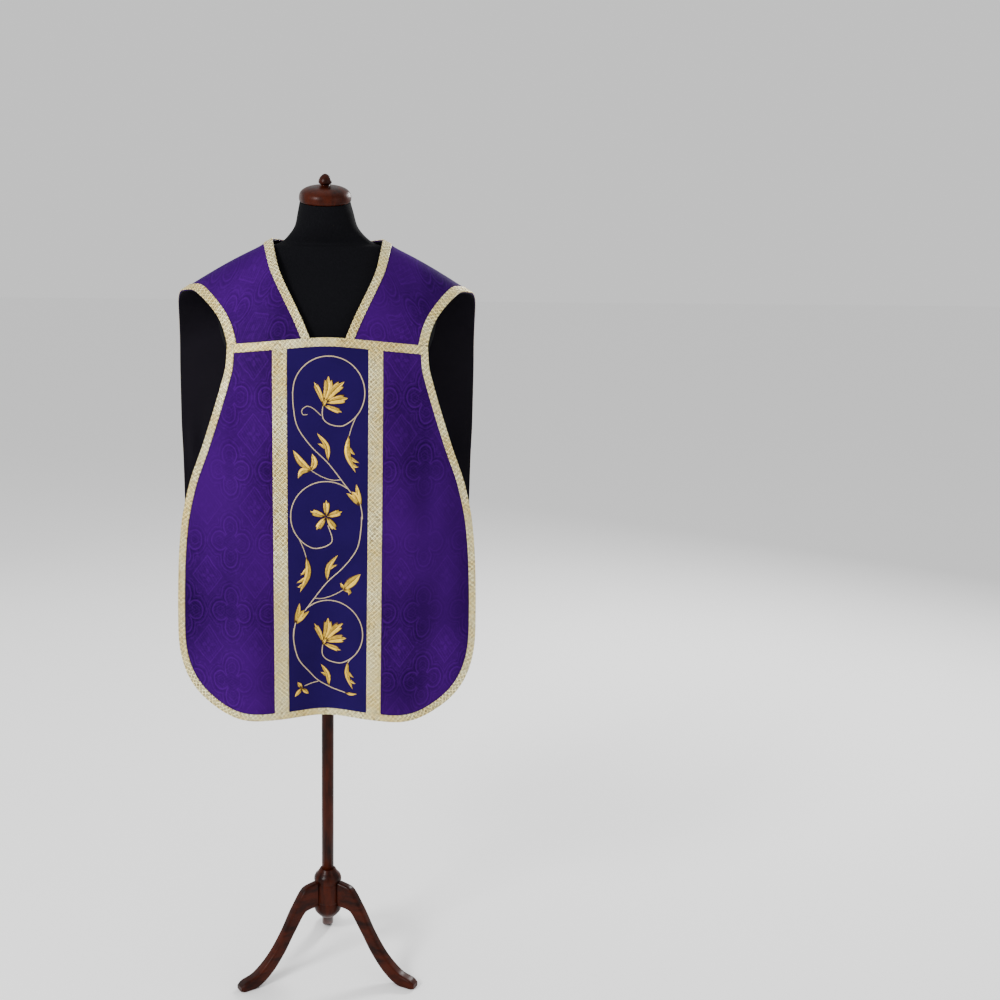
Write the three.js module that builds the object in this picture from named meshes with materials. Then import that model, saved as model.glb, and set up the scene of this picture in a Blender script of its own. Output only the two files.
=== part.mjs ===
// A fiddleback chasuble of violet damask, worn by a limbless dress form on a wooden tripod.
// Millimetres, +Z up, the floor at z = 0, the wearer facing -Y, the wearer's left at +X.
//
// The cloth is cut as a vestment maker cuts it. The back runs over the sloping shoulders and ends in
// two straps on the chest, where they are sewn to the front. Both panels hang free, open at the sides.
// Each panel is a net of points on its outer face. A panel is a wall inwards from its net, and what is
// sewn on it is a wall outwards from cells of the same net, so every piece follows the cloth below it.

import * as THREE from "three";

const { lerp, clamp, smoothstep, degToRad } = THREE.MathUtils;

// Heights above the floor, and half widths from the centre line.
const NECK_POINT_HEIGHT = 1569;
const NECK_POINT_HALF = 109;
const NECK_CORNER = { rise: 5, reach: 20 };
const BACK_NECK_DIP = 10;
const SHOULDER_TIP_HALF = 290;
const SHOULDER_SLOPE = 0.78;
const SHOULDER_ROUNDING = 200;
const SHOULDER_DEPTH = 15;
const CHEST_SEAM_HEIGHT = 1392;
const CHEST_SEAM_SLOPE = 0.1;
const CHEST_SEAM_ROUNDING = 30;
const CHEST_SEAM_HALF = 193;

// Widths of the braids and of the embroidered bands.
const COLUMN_HALF = 78;
const GALLOON = 28;
const EDGE_BRAID = 15;
const STRAP_BRAID = 18;
const NECK_BRAID = 17;
const CHEST_BAND = 17;
const CROSS_ARM_REACH = 242;
const CROSS_ARM_TOP = 1429;
const CROSS_ARM_BOTTOM = 1286;

// Thicknesses of the cloths, and the gap left at each seam.
const DAMASK = 1.6;
const LINING = 1;
const ORPHREY = 1.2;
const BRAID = 1.6;
const GAP = 0.3;

// How far the cloth hangs from the form's axis, the front from the chest, the back from the shoulder
// blades, and how it bows towards the sides.
const FRONT_HANG = [
  { height: 1500, reach: 136 },
  { height: 1376, reach: 142 },
  { height: 1290, reach: 150 },
  { height: 1100, reach: 155 },
  { height: 880, reach: 158 },
  { height: 630, reach: 164 },
];
const BACK_HANG = [
  { height: 1620, reach: 84 },
  { height: 1540, reach: 104 },
  { height: 1454, reach: 120 },
  { height: 1350, reach: 130 },
  { height: 1150, reach: 134 },
  { height: 860, reach: 139 },
  { height: 560, reach: 149 },
];
const FRONT_BOW = { half: 300, depth: 50, power: 2.6 };
const BACK_BOW = { half: 306, depth: 28, power: 2.6 };
const FRONT_SHOULDER = { slope: 0.57, rounding: 108, blend: 60 };
const BACK_SHOULDER = { slope: 0.8, rounding: 60, blend: 45 };

// Soft folds: a trough is a positive depth, towards the wearer. Each runs down to the hem, from nothing
// at the height where it starts, and drifts sideways from one place to the other.
const FRONT_FOLDS = [
  { from: 1000, atTop: 0, atHem: -4, half: 76, depth: 42 },
  { from: 1230, atTop: -140, atHem: -168, half: 52, depth: -11 },
  { from: 1180, atTop: -196, atHem: -238, half: 44, depth: 9 },
  { from: 1240, atTop: 138, atHem: 158, half: 50, depth: -9 },
  { from: 1150, atTop: 192, atHem: 226, half: 48, depth: 11 },
];
const BACK_FOLDS = [
  { from: 1330, atTop: -205, atHem: -196, half: 46, depth: 12 },
  { from: 1200, atTop: -268, atHem: -262, half: 40, depth: -8 },
  { from: 1290, atTop: -140, atHem: -136, half: 40, depth: -6 },
  { from: 1330, atTop: 182, atHem: 204, half: 44, depth: 11 },
  { from: 1150, atTop: 258, atHem: 246, half: 42, depth: 9 },
  { from: 1260, atTop: 136, atHem: 140, half: 38, depth: -7 },
];

// How much lower the cloth hangs on the wearer's left, from nothing at the start to the drop at full.
const FRONT_SAG = { from: 1200, start: -40, full: 270, drop: 6 };
const BACK_SAG = { from: 1350, start: -60, full: 270, drop: 24 };

// The panels' outlines, half widths against heights, and the superellipse of each rounded hem corner.
const FRONT_EDGE = [
  { height: 1375, half: 193 },
  { height: 1339, half: 195 },
  { height: 1300, half: 204.5 },
  { height: 1262, half: 216 },
  { height: 1183, half: 242 },
  { height: 1103, half: 270.5 },
  { height: 1022, half: 288 },
  { height: 940, half: 295.5 },
  { height: 857, half: 298.5 },
  { height: 815, half: 299 },
];
const BACK_EDGE = [
  { height: 1472, half: 290 },
  { height: 1467, half: 295 },
  { height: 1458, half: 299 },
  { height: 1446, half: 301.5 },
  { height: 1426, half: 303 },
  { height: 1383, half: 304.5 },
  { height: 1297, half: 306 },
  { height: 1207, half: 306 },
  { height: 1117, half: 304 },
  { height: 909, half: 302.5 },
  { height: 766, half: 300 },
];
const FRONT_CORNER = { top: 815, side: 299, straight: 120, hem: 630, power: 2.45 };
const BACK_CORNER = { top: 766, side: 300, straight: 115, hem: 592, power: 2.4 };

// The straps' two long edges, from the shoulder line (share 0) down to the chest seam (share 1).
const STRAP_NECK_EDGE = [
  { share: 0, half: 109 },
  { share: 0.09, half: 105 },
  { share: 0.18, half: 101 },
  { share: 0.3, half: 95 },
  { share: 0.44, half: 84 },
  { share: 0.59, half: 70 },
  { share: 0.84, half: 47 },
  { share: 1, half: 34 },
];
const STRAP_ARM_EDGE = [
  { share: 0, half: 290 },
  { share: 0.1, half: 267 },
  { share: 0.27, half: 248 },
  { share: 0.46, half: 229 },
  { share: 0.63, half: 213 },
  { share: 0.77, half: 203 },
  { share: 0.89, half: 197 },
  { share: 1, half: 193 },
];

// Where the nets' lines and rows run. Shares count from the top of a stretch to its foot.
const COLUMN_LINES = [0, 26, 52, COLUMN_HALF, COLUMN_HALF + GALLOON];
const FRONT_FLANK_SHARES = [0.2, 0.4, 0.6, 0.8, 1];
const FRONT_ROWS = 10;
const BACK_FLANK_LINES = [126, 164, 203, CROSS_ARM_REACH, CROSS_ARM_REACH + GALLOON];
const YOKE_SHARES = [0, 0.02, 0.07, 0.13, 0.32, 0.62, 1];
const YOKE_BRAID_ROWS = 3;
const CROSS_ARM_ROWS = 4;
const BACK_ROWS = 9;
const CORNER_ROWS = 4;
const STRAP_SHARES = [0.01, 0.04, 0.1, 0.2, 0.34, 0.5, 0.68, 0.85, 1];

// The dress form: half widths and half depths of its sections, and how square they are.
const FORM_SECTIONS = [
  { height: 855, half: 166, depth: 102, centre: 3 },
  { height: 868, half: 176, depth: 110, centre: 3 },
  { height: 910, half: 184, depth: 116, centre: 3 },
  { height: 980, half: 180, depth: 112, centre: 2 },
  { height: 1060, half: 168, depth: 105, centre: 0 },
  { height: 1140, half: 164, depth: 104, centre: -2 },
  { height: 1220, half: 174, depth: 112, centre: -5 },
  { height: 1290, half: 186, depth: 118, centre: -6 },
  { height: 1345, half: 198, depth: 117, centre: -4 },
  { height: 1395, half: 214, depth: 113, centre: 0 },
  { height: 1440, half: 220, depth: 102, centre: 5 },
  { height: 1474, half: 216, depth: 86, centre: 10 },
];
const FORM_SHOULDERS = [
  { half: 205, depth: 56 },
  { half: 180, depth: 51 },
  { half: 155, depth: 46 },
  { half: 128, depth: 41 },
];
const FORM_NECK = [
  { height: 1566, half: 96, depth: 36, centre: 14, aside: 0 },
  { height: 1583, half: 74, depth: 42, centre: 11, aside: -2 },
  { height: 1602, half: 61, depth: 48, centre: 9, aside: -3 },
  { height: 1626, half: 55, depth: 50, centre: 7, aside: -4 },
];
const FORM_SIDES = 28;
const TORSO_POWER = 2.2;
const NECK_TOP = { height: 1646, radius: 50, centre: 5, aside: -5, tilt: degToRad(12) };

// The turned cap on the neck and its knob, as radii against heights above the cap's seat.
const CAP_PROFILE = [
  { radius: 0, height: 0 },
  { radius: 48, height: 0 },
  { radius: 51, height: 4 },
  { radius: 51.5, height: 9 },
  { radius: 50.5, height: 15 },
  { radius: 46, height: 22 },
  { radius: 34, height: 28 },
  { radius: 14, height: 31 },
  { radius: 8.5, height: 31.6 },
  { radius: 9, height: 33.5 },
  { radius: 12.8, height: 36 },
  { radius: 13, height: 39 },
  { radius: 11.5, height: 44 },
  { radius: 8.5, height: 49 },
  { radius: 5, height: 52.5 },
  { radius: 0, height: 54 },
];
const CAP_SIDES = 24;

// The pole and its tripod. A leg's sections give its underside, top and half width against the reach.
const POLE_RADIUS = 13;
const POLE_SIDES = 16;
const HUB_PROFILE = [
  { radius: 0, height: 118 },
  { radius: 14, height: 118 },
  { radius: 27, height: 132 },
  { radius: 30, height: 142 },
  { radius: 30, height: 214 },
  { radius: 24, height: 222 },
  { radius: 18, height: 232 },
  { radius: 0, height: 232 },
];
const HUB_SIDES = 20;
const LEG_SECTIONS = [
  { reach: 30.4, under: 150, top: 206, half: 11 },
  { reach: 56, under: 146, top: 200, half: 11 },
  { reach: 86, under: 106, top: 160, half: 11 },
  { reach: 114, under: 60, top: 108, half: 11 },
  { reach: 144, under: 24, top: 64, half: 11.5 },
  { reach: 170, under: 5, top: 38, half: 12.5 },
  { reach: 184, under: 0, top: 28, half: 13 },
  { reach: 208, under: 0, top: 20, half: 13 },
  { reach: 218, under: 3, top: 13, half: 10 },
];
const LEG_CHAMFER = 3;
const LEGS = [
  { name: "leg_right", turn: -60 },
  { name: "leg_left", turn: 60 },
  { name: "leg_back", turn: 180 },
];

// The shoulder line, the fold that the cloth hangs from. It runs on over the neck as a smooth hump, and
// its stiff corners stand up where the neck opening starts.
function shoulderHeight(x) {
  const out = Math.hypot(x, SHOULDER_ROUNDING) - Math.hypot(NECK_POINT_HALF, SHOULDER_ROUNDING);
  const fromCorner = (Math.abs(x) - NECK_POINT_HALF) / NECK_CORNER.reach;
  const corner = NECK_CORNER.rise * Math.exp(-fromCorner * fromCorner);
  return NECK_POINT_HEIGHT - SHOULDER_SLOPE * out + corner;
}

function chestSeamHeight(x) {
  return CHEST_SEAM_HEIGHT - CHEST_SEAM_SLOPE * (Math.hypot(x, CHEST_SEAM_ROUNDING) - CHEST_SEAM_ROUNDING);
}

// A smooth curve through a table's rows, with no overshoot: Hermite pieces with limited slopes.
function along(table, key, value, at) {
  const rows = [...table].sort((a, b) => a[key] - b[key]);
  const last = rows.length - 1;
  const rise = (i) => (rows[i + 1][value] - rows[i][value]) / (rows[i + 1][key] - rows[i][key]);
  const slope = (i) => {
    if (i === 0) return rise(0);
    if (i === last) return rise(last - 1);
    const before = rise(i - 1);
    const after = rise(i);
    return before * after <= 0 ? 0 : (2 * before * after) / (before + after);
  };
  const inside = clamp(at, rows[0][key], rows[last][key]);
  let i = 0;
  while (i < last - 1 && inside > rows[i + 1][key]) i += 1;
  const step = rows[i + 1][key] - rows[i][key];
  const t = (inside - rows[i][key]) / step;
  const fromStart = (1 + 2 * t) * (1 - t) ** 2 * rows[i][value] + t * (1 - t) ** 2 * step * slope(i);
  const fromEnd = t * t * (3 - 2 * t) * rows[i + 1][value] + t * t * (t - 1) * step * slope(i + 1);
  return fromStart + fromEnd;
}

// The lesser of two depths, rounded where they cross.
function softMin(a, b, blend) {
  const overlap = Math.max(blend - Math.abs(a - b), 0) / blend;
  return Math.min(a, b) - (overlap * overlap * blend) / 4;
}

function foldDepth(folds, hem, x, z) {
  return folds.reduce((sum, fold) => {
    const down = clamp((fold.from - z) / (fold.from - hem), 0, 1);
    const away = (x - lerp(fold.atTop, fold.atHem, down)) / fold.half;
    return sum + fold.depth * down * (2 - down) * Math.exp(-away * away);
  }, 0);
}

// How far the cloth has sloped away from the shoulder line at a height below it.
function slopingDepth({ slope, rounding }, x, z) {
  const drop = Math.max(shoulderHeight(x) - z, 0);
  return slope * Math.sqrt(drop * drop + 2 * rounding * drop);
}

function sagged({ from, start, full, drop }, hem, x, z) {
  const down = clamp((from - z) / (from - hem), 0, 1);
  return z - drop * smoothstep(x, start, full) * down * down;
}

function hangingDepth(hang, bow, x, z) {
  return along(hang, "height", "reach", z) - bow.depth * (Math.abs(x) / bow.half) ** bow.power;
}

// The outer face of the cloth on the wearer's front and back. It slopes off the shoulder line and then
// hangs.
function frontPoint(x, z) {
  const sloping = slopingDepth(FRONT_SHOULDER, x, z) - SHOULDER_DEPTH;
  const depth = softMin(sloping, hangingDepth(FRONT_HANG, FRONT_BOW, x, z), FRONT_SHOULDER.blend);
  const y = foldDepth(FRONT_FOLDS, FRONT_CORNER.hem, x, z) - depth;
  return new THREE.Vector3(x, y, sagged(FRONT_SAG, FRONT_CORNER.hem, x, z));
}

function backPoint(x, z) {
  const sloping = slopingDepth(BACK_SHOULDER, x, z) + SHOULDER_DEPTH;
  const depth = softMin(sloping, hangingDepth(BACK_HANG, BACK_BOW, x, z), BACK_SHOULDER.blend);
  const y = depth - foldDepth(BACK_FOLDS, BACK_CORNER.hem, x, z);
  return new THREE.Vector3(x, y, sagged(BACK_SAG, BACK_CORNER.hem, x, z));
}

// A net of points and the four-sided cells between them. A cell's tag says which piece lies on it.
class Net {
  constructor() {
    this.points = [];
    this.cells = [];
  }

  addPoints(points) {
    return points.map((point) => this.points.push(point) - 1);
  }

  // A strip of cells between two rows of points that run from the wearer's right to the left. The
  // corners run anticlockwise, as seen from the cloth's outer side.
  addStrip(upper, lower, tags, facingBack) {
    tags.forEach((tag, i) => {
      const corners = [upper[i], lower[i], lower[i + 1], upper[i + 1]];
      if (facingBack) corners.reverse();
      this.cells.push({ corners, tag });
    });
  }

  // Each point's outward direction: the sum of its cells' own directions.
  directions() {
    const sums = this.points.map(() => new THREE.Vector3());
    for (const { corners } of this.cells) {
      const [a, b, c, d] = corners.map((i) => this.points[i]);
      const across = c.clone().sub(a).cross(d.clone().sub(b));
      corners.forEach((i) => sums[i].add(across));
    }
    return sums.map((sum) => sum.normalize());
  }
}

// The edges of some cells that no second cell shares, each with its cell.
function rimEdges(cells) {
  const edges = new Map();
  for (const cell of cells) {
    cell.corners.forEach((from, k) => {
      const to = cell.corners[(k + 1) % 4];
      const twin = `${to},${from}`;
      if (edges.has(twin)) edges.delete(twin);
      else edges.set(`${from},${to}`, { from, to, cell });
    });
  }
  return [...edges.values()];
}

// Moves the rim's points inwards along the cloth, which leaves the gap at a seam.
function drawnIn(points, rim, distance) {
  const pulls = new Map();
  for (const { from, to, cell } of rim) {
    const run = points[to].clone().sub(points[from]).normalize();
    const middle = new THREE.Vector3();
    cell.corners.forEach((i) => middle.addScaledVector(points[i], 1 / 4));
    const pull = middle.sub(points[from]);
    pull.addScaledVector(run, -pull.dot(run)).normalize();
    for (const i of [from, to]) pulls.set(i, [...(pulls.get(i) ?? []), pull]);
  }
  const moved = points.map((point) => point.clone());
  for (const [i, list] of pulls) {
    const sum = new THREE.Vector3();
    list.forEach((pull) => sum.add(pull));
    sum.normalize();
    moved[i].addScaledVector(sum, distance / Math.max(sum.dot(list[0]), 1 / 2));
  }
  return moved;
}

function solidFrom(triangles) {
  const geometry = new THREE.BufferGeometry();
  const numbers = triangles.flatMap((corners) => corners.flatMap((point) => point.toArray()));
  geometry.setAttribute("position", new THREE.Float32BufferAttribute(numbers, 3));
  geometry.computeVertexNormals();
  return geometry;
}

// A closed wall over the net's cells that have one of the tags, from one height above the net to
// another. A height below the net is negative.
function wallOn(net, tags, low, high) {
  const cells = net.cells.filter((cell) => tags.includes(cell.tag));
  const rim = rimEdges(cells);
  const directions = net.directions();
  const base = drawnIn(net.points, rim, GAP / 2);
  const raised = (height) => base.map((point, i) => point.clone().addScaledVector(directions[i], height));
  const inner = raised(low);
  const outer = raised(high);
  const faces = cells.flatMap(({ corners: [a, b, c, d] }) => [
    [outer[a], outer[b], outer[c]],
    [outer[a], outer[c], outer[d]],
    [inner[a], inner[c], inner[b]],
    [inner[a], inner[d], inner[c]],
  ]);
  const sides = rim.flatMap(({ from, to }) => [
    [outer[from], inner[from], inner[to]],
    [outer[from], inner[to], outer[to]],
  ]);
  return solidFrom([...faces, ...sides]);
}

// A closed solid through rings of points. Each ring runs anticlockwise, as seen from the last ring's end.
function loftThrough(rings) {
  const count = rings[0].length;
  const next = (i) => (i + 1) % count;
  const middleOf = (ring) => {
    const middle = new THREE.Vector3();
    ring.forEach((point) => middle.addScaledVector(point, 1 / count));
    return middle;
  };
  const triangles = [];
  const first = rings[0];
  const last = rings[rings.length - 1];
  const firstMiddle = middleOf(first);
  const lastMiddle = middleOf(last);
  for (let i = 0; i < count; i += 1) {
    triangles.push([firstMiddle, first[next(i)], first[i]]);
    triangles.push([lastMiddle, last[i], last[next(i)]]);
    for (let k = 0; k + 1 < rings.length; k += 1) {
      const [lower, upper] = [rings[k], rings[k + 1]];
      triangles.push([lower[i], lower[next(i)], upper[next(i)]]);
      triangles.push([lower[i], upper[next(i)], upper[i]]);
    }
  }
  return solidFrom(triangles);
}

// A row of points from the wearer's right to the left, made from its left half and the mirror image.
function mirroredRow(net, half, pointOn) {
  const left = net.addPoints(half.map(({ x, z }) => pointOn(x, z)));
  const right = net.addPoints(half.slice(1).map(({ x, z }) => pointOn(-x, z)));
  return [...right.reverse(), ...left];
}

// A strip's tags for both sides, from those of its left half. A tag that ends in _left becomes _right.
function mirroredTags(half) {
  const right = half.map((tag) => tag.replace("_left", "_right"));
  return [...right.reverse(), ...half];
}

// A point on a rounded hem corner. Turn 0 is at the side, turn 90 at the hem, and the inset leaves room
// for the braid.
function cornerPoint(corner, turn, inset) {
  const bend = 2 / corner.power;
  const out = corner.side - corner.straight - inset;
  const down = corner.top - corner.hem - inset;
  return {
    x: corner.straight + out * Math.max(Math.cos(degToRad(turn)), 0) ** bend,
    z: corner.top - down * Math.sin(degToRad(turn)) ** bend,
  };
}

// The turn at which the braid's inner line is as far out as x.
function cornerTurn(corner, x) {
  if (x <= corner.straight) return 90;
  const share = (x - corner.straight) / (corner.side - corner.straight - EDGE_BRAID);
  return THREE.MathUtils.radToDeg(Math.acos(share ** (corner.power / 2)));
}

// The lowest stretch of a panel, with its rounded corners and the hem. Lines of the column run plumb
// down to the hem, and the others fan out round the corner, whose elbow is at turn 45.
function addCorners(net, corner, lines, plumbCount, top, tagsOf, pointOn, facingBack) {
  const plumb = lines[plumbCount - 1];
  const inner = lines[lines.length - 1];
  const share = (x) => (x - plumb) / (inner - plumb);
  const turnAt = (x, i) => {
    if (i < plumbCount) return cornerTurn(corner, x);
    return lerp(cornerTurn(corner, plumb), 45, share(x));
  };
  const hemPoint = (x, i, inset) => {
    const turn = turnAt(x, i);
    const { x: outX, z } = cornerPoint(corner, turn, inset);
    return { x: turn === 90 ? x : outX, z };
  };
  const foot = hemPoint(plumb, plumbCount - 1, EDGE_BRAID);
  const elbow = cornerPoint(corner, 45, EDGE_BRAID);
  let upper = top;
  for (let j = 1; j <= CORNER_ROWS; j += 1) {
    const v = j / CORNER_ROWS;
    const side = cornerPoint(corner, 45 * v, EDGE_BRAID);
    const half = lines.map((x, i) => {
      const hem = hemPoint(x, i, EDGE_BRAID);
      if (i < plumbCount) return { x, z: lerp(corner.top, hem.z, v) };
      const s = share(x);
      const across = lerp(plumb, side.x, s) + v * (hem.x - lerp(plumb, elbow.x, s));
      const down = lerp(lerp(corner.top, foot.z, v), side.z, s) + v * (hem.z - lerp(foot.z, elbow.z, s));
      return { x: across + (1 - v) * (x - lerp(plumb, inner, s)), z: down };
    });
    const lower = mirroredRow(net, [...half, cornerPoint(corner, 45 * v, 0)], pointOn);
    net.addStrip(upper, lower, mirroredTags(tagsOf(lines)), facingBack);
    upper = lower;
  }
  const hemHalf = lines.slice(0, -1).map((x, i) => hemPoint(x, i, 0));
  const hem = mirroredRow(net, hemHalf, pointOn);
  const outer = [upper[0], ...hem, upper[upper.length - 1]];
  net.addStrip(upper.slice(1, -1), outer, outer.slice(1).map(() => "edge"), facingBack);
}

// The front panel, from the chest seam down.
function frontNet() {
  const net = new Net();
  const bandFoot = (x) => chestSeamHeight(x) - CHEST_BAND;
  const start = COLUMN_HALF + GALLOON;
  const rowAt = (heightAt) => {
    const height = heightAt(CHEST_SEAM_HALF);
    const edge = along(FRONT_EDGE, "height", "half", height);
    const lean = along(FRONT_EDGE, "height", "half", height - 1) - edge;
    const inner = edge - EDGE_BRAID * Math.hypot(1, lean);
    const lines = [...COLUMN_LINES, ...FRONT_FLANK_SHARES.map((share) => lerp(start, inner, share))];
    const half = [...lines, edge].map((x) => ({ x, z: heightAt(x) }));
    return { lines, points: mirroredRow(net, half, frontPoint) };
  };
  const tagsOf = (lines) =>
    lines.map((line, i) => {
      if (i === lines.length - 1) return "edge";
      if (i < COLUMN_LINES.length - 2) return "column";
      return i === COLUMN_LINES.length - 2 ? "galloon_left" : "flank";
    });
  let row = rowAt((x) => chestSeamHeight(x) - GAP);
  let next = rowAt(bandFoot);
  const bandTags = row.lines.map((line, i) => (i === row.lines.length - 1 ? "edge" : "band"));
  net.addStrip(row.points, next.points, mirroredTags(bandTags), false);
  for (let j = 1; j <= FRONT_ROWS; j += 1) {
    row = next;
    next = rowAt((x) => lerp(bandFoot(x), FRONT_CORNER.top, j / FRONT_ROWS));
    net.addStrip(row.points, next.points, mirroredTags(tagsOf(row.lines)), false);
  }
  const plumbCount = COLUMN_LINES.length;
  addCorners(net, FRONT_CORNER, next.lines, plumbCount, next.points, tagsOf, frontPoint, false);
  return net;
}

// The back's lines at the foot of the yoke, the stretch between the shoulder line and the cross's arms.
const YOKE_FOOT = CROSS_ARM_TOP + GALLOON;
const BACK_LINES = [...COLUMN_LINES, ...BACK_FLANK_LINES];
const NECK_LINE = COLUMN_LINES.length - 1;
const ARM_END_LINE = BACK_LINES.length - 2;

function backInner(height) {
  return along(BACK_EDGE, "height", "half", height) - EDGE_BRAID;
}

// How far out each flank line lies, as a share of the way from the neck braid to the arm braid.
function flankShares() {
  const [start] = BACK_FLANK_LINES;
  const end = backInner(YOKE_FOOT);
  return [...BACK_FLANK_LINES, end].map((x) => (x - start) / (end - start));
}

// A row of the yoke. The lines spread from their places on the shoulder line to their plumb places.
function yokeHalf(share) {
  const corner = shoulderHeight(NECK_POINT_HALF);
  const neckEdge = (x) => corner - BACK_NECK_DIP * (1 - (x / NECK_POINT_HALF) ** 2);
  const topAt = (x) => (x <= NECK_POINT_HALF ? neckEdge(x) : shoulderHeight(x));
  const start = NECK_POINT_HALF + NECK_BRAID;
  const onRidge = flankShares().map((s) => lerp(start, SHOULDER_TIP_HALF - STRAP_BRAID, s));
  const plumb = [...BACK_FLANK_LINES, backInner(YOKE_FOOT)];
  const flank = plumb.map((x, i) => {
    const ridge = onRidge[i];
    return { x: lerp(ridge, x, share), z: lerp(topAt(ridge), YOKE_FOOT, share) };
  });
  const edgeHeight = lerp(shoulderHeight(SHOULDER_TIP_HALF), YOKE_FOOT, share);
  const tip = share === 0 ? SHOULDER_TIP_HALF : along(BACK_EDGE, "height", "half", edgeHeight);
  const column = COLUMN_LINES.map((x) => ({ x, z: lerp(topAt(x), YOKE_FOOT, share) }));
  return [...column, ...flank, { x: tip, z: edgeHeight }];
}

// Which piece lies on each cell of a row of the back's left half.
function backTags(part) {
  return [...BACK_LINES, "inner"].map((line, i) => {
    if (i === BACK_LINES.length) return "edge";
    if (part === "neck") {
      if (i < NECK_LINE) return "neck_back";
      return i === NECK_LINE ? "neck_left" : "flank";
    }
    if (i < NECK_LINE - 1) return "cross";
    if (part === "column") return i === NECK_LINE - 1 ? "galloon_left" : "flank";
    if (i > ARM_END_LINE) return "flank";
    if (part === "arm_border" || i === ARM_END_LINE) return "galloon_left";
    return "cross";
  });
}

// One strap, from the shoulder line down the chest. Side is 1 on the wearer's left and -1 on the right.
function addStrap(net, side, ridge) {
  const name = side === 1 ? "neck_left" : "neck_right";
  const tags = [name, ...flankShares().slice(1).map(() => "flank"), "edge"];
  if (side === -1) tags.reverse();
  let upper = ridge;
  for (const share of STRAP_SHARES) {
    const neck = along(STRAP_NECK_EDGE, "share", "half", share);
    const arm = along(STRAP_ARM_EDGE, "share", "half", share);
    const inside = flankShares().map((s) => lerp(neck + NECK_BRAID, arm - STRAP_BRAID, s));
    const row = [neck, ...inside, arm].map((x) => {
      return frontPoint(side * x, lerp(shoulderHeight(x), chestSeamHeight(x), share));
    });
    const lower = net.addPoints(side === 1 ? row : row.reverse());
    net.addStrip(upper, lower, tags, false);
    upper = lower;
  }
}

// The back panel with its straps. Both rest on one row of points along the shoulder line.
function backNet() {
  const net = new Net();
  const yokeRows = YOKE_SHARES.map((share) => mirroredRow(net, yokeHalf(share), backPoint));
  for (let j = 0; j + 1 < yokeRows.length; j += 1) {
    const tags = backTags(j < YOKE_BRAID_ROWS ? "neck" : "column");
    net.addStrip(yokeRows[j], yokeRows[j + 1], mirroredTags(tags), true);
  }
  let upper = yokeRows[yokeRows.length - 1];
  const addRow = (height, part) => {
    const edge = along(BACK_EDGE, "height", "half", height);
    const half = [...BACK_LINES, edge - EDGE_BRAID, edge].map((x) => ({ x, z: height }));
    const lower = mirroredRow(net, half, backPoint);
    net.addStrip(upper, lower, mirroredTags(backTags(part)), true);
    upper = lower;
  };
  addRow(CROSS_ARM_TOP, "arm_border");
  for (let j = 1; j <= CROSS_ARM_ROWS; j += 1) {
    addRow(lerp(CROSS_ARM_TOP, CROSS_ARM_BOTTOM, j / CROSS_ARM_ROWS), "arm");
  }
  const crossFoot = CROSS_ARM_BOTTOM - GALLOON;
  addRow(crossFoot, "arm_border");
  for (let j = 1; j <= BACK_ROWS; j += 1) {
    addRow(lerp(crossFoot, BACK_CORNER.top, j / BACK_ROWS), "column");
  }
  const lines = [...BACK_LINES, backInner(BACK_CORNER.top)];
  const tagsOf = () => backTags("column");
  addCorners(net, BACK_CORNER, lines, COLUMN_LINES.length, upper, tagsOf, backPoint, true);
  const [ridge] = yokeRows;
  const ridgeCells = BACK_LINES.length - NECK_LINE + 1;
  addStrap(net, 1, ridge.slice(-ridgeCells - 1));
  addStrap(net, -1, ridge.slice(0, ridgeCells + 1));
  return net;
}

// The dress form's torso, shoulders and neck. The shoulders carry the straps' lining, a gap below it.
function formSolid() {
  const angles = Array.from({ length: FORM_SIDES }, (_, i) => (2 * Math.PI * i) / FORM_SIDES);
  const bent = (value, power) => Math.sign(value) * Math.abs(value) ** (2 / power);
  const section = ({ height, half, depth, centre, aside = 0 }, power) =>
    angles.map((angle) => {
      const x = aside + half * bent(Math.cos(angle), power);
      return new THREE.Vector3(x, centre + depth * bent(Math.sin(angle), power), height);
    });
  const shoulder = ({ half, depth }) => {
    const slope = shoulderHeight(half - 1 / 2) - shoulderHeight(half + 1 / 2);
    const height = shoulderHeight(half) - (DAMASK + LINING + 3 * GAP) * Math.hypot(1, slope);
    return section({ height, half, depth, centre: SHOULDER_DEPTH }, 2);
  };
  const { height, radius, centre, aside, tilt } = NECK_TOP;
  const neckTop = angles.map((angle) => {
    const back = radius * Math.sin(angle);
    const x = aside + radius * Math.cos(angle);
    return new THREE.Vector3(x, centre + back * Math.cos(tilt), height + back * Math.sin(tilt));
  });
  return loftThrough([
    ...FORM_SECTIONS.map((row) => section(row, TORSO_POWER)),
    ...FORM_SHOULDERS.map(shoulder),
    ...FORM_NECK.map((row) => section(row, 2)),
    neckTop,
  ]);
}

function turned(profile, sides) {
  const points = profile.map(({ radius, height }) => new THREE.Vector2(radius, height));
  return new THREE.LatheGeometry(points, sides).rotateX(Math.PI / 2);
}

// A leg reaches out along +X from the hub, thick where it joins, and ends in a foot with a flat sole.
function legSolid() {
  const rings = LEG_SECTIONS.map(({ reach, under, top, half }) => {
    const c = LEG_CHAMFER;
    const outline = [
      [half, under + c],
      [half, top - c],
      [half - c, top],
      [c - half, top],
      [-half, top - c],
      [-half, under + c],
      [c - half, under],
      [half - c, under],
    ];
    return outline.map(([y, z]) => new THREE.Vector3(reach, y, z));
  });
  return loftThrough(rings);
}

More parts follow.
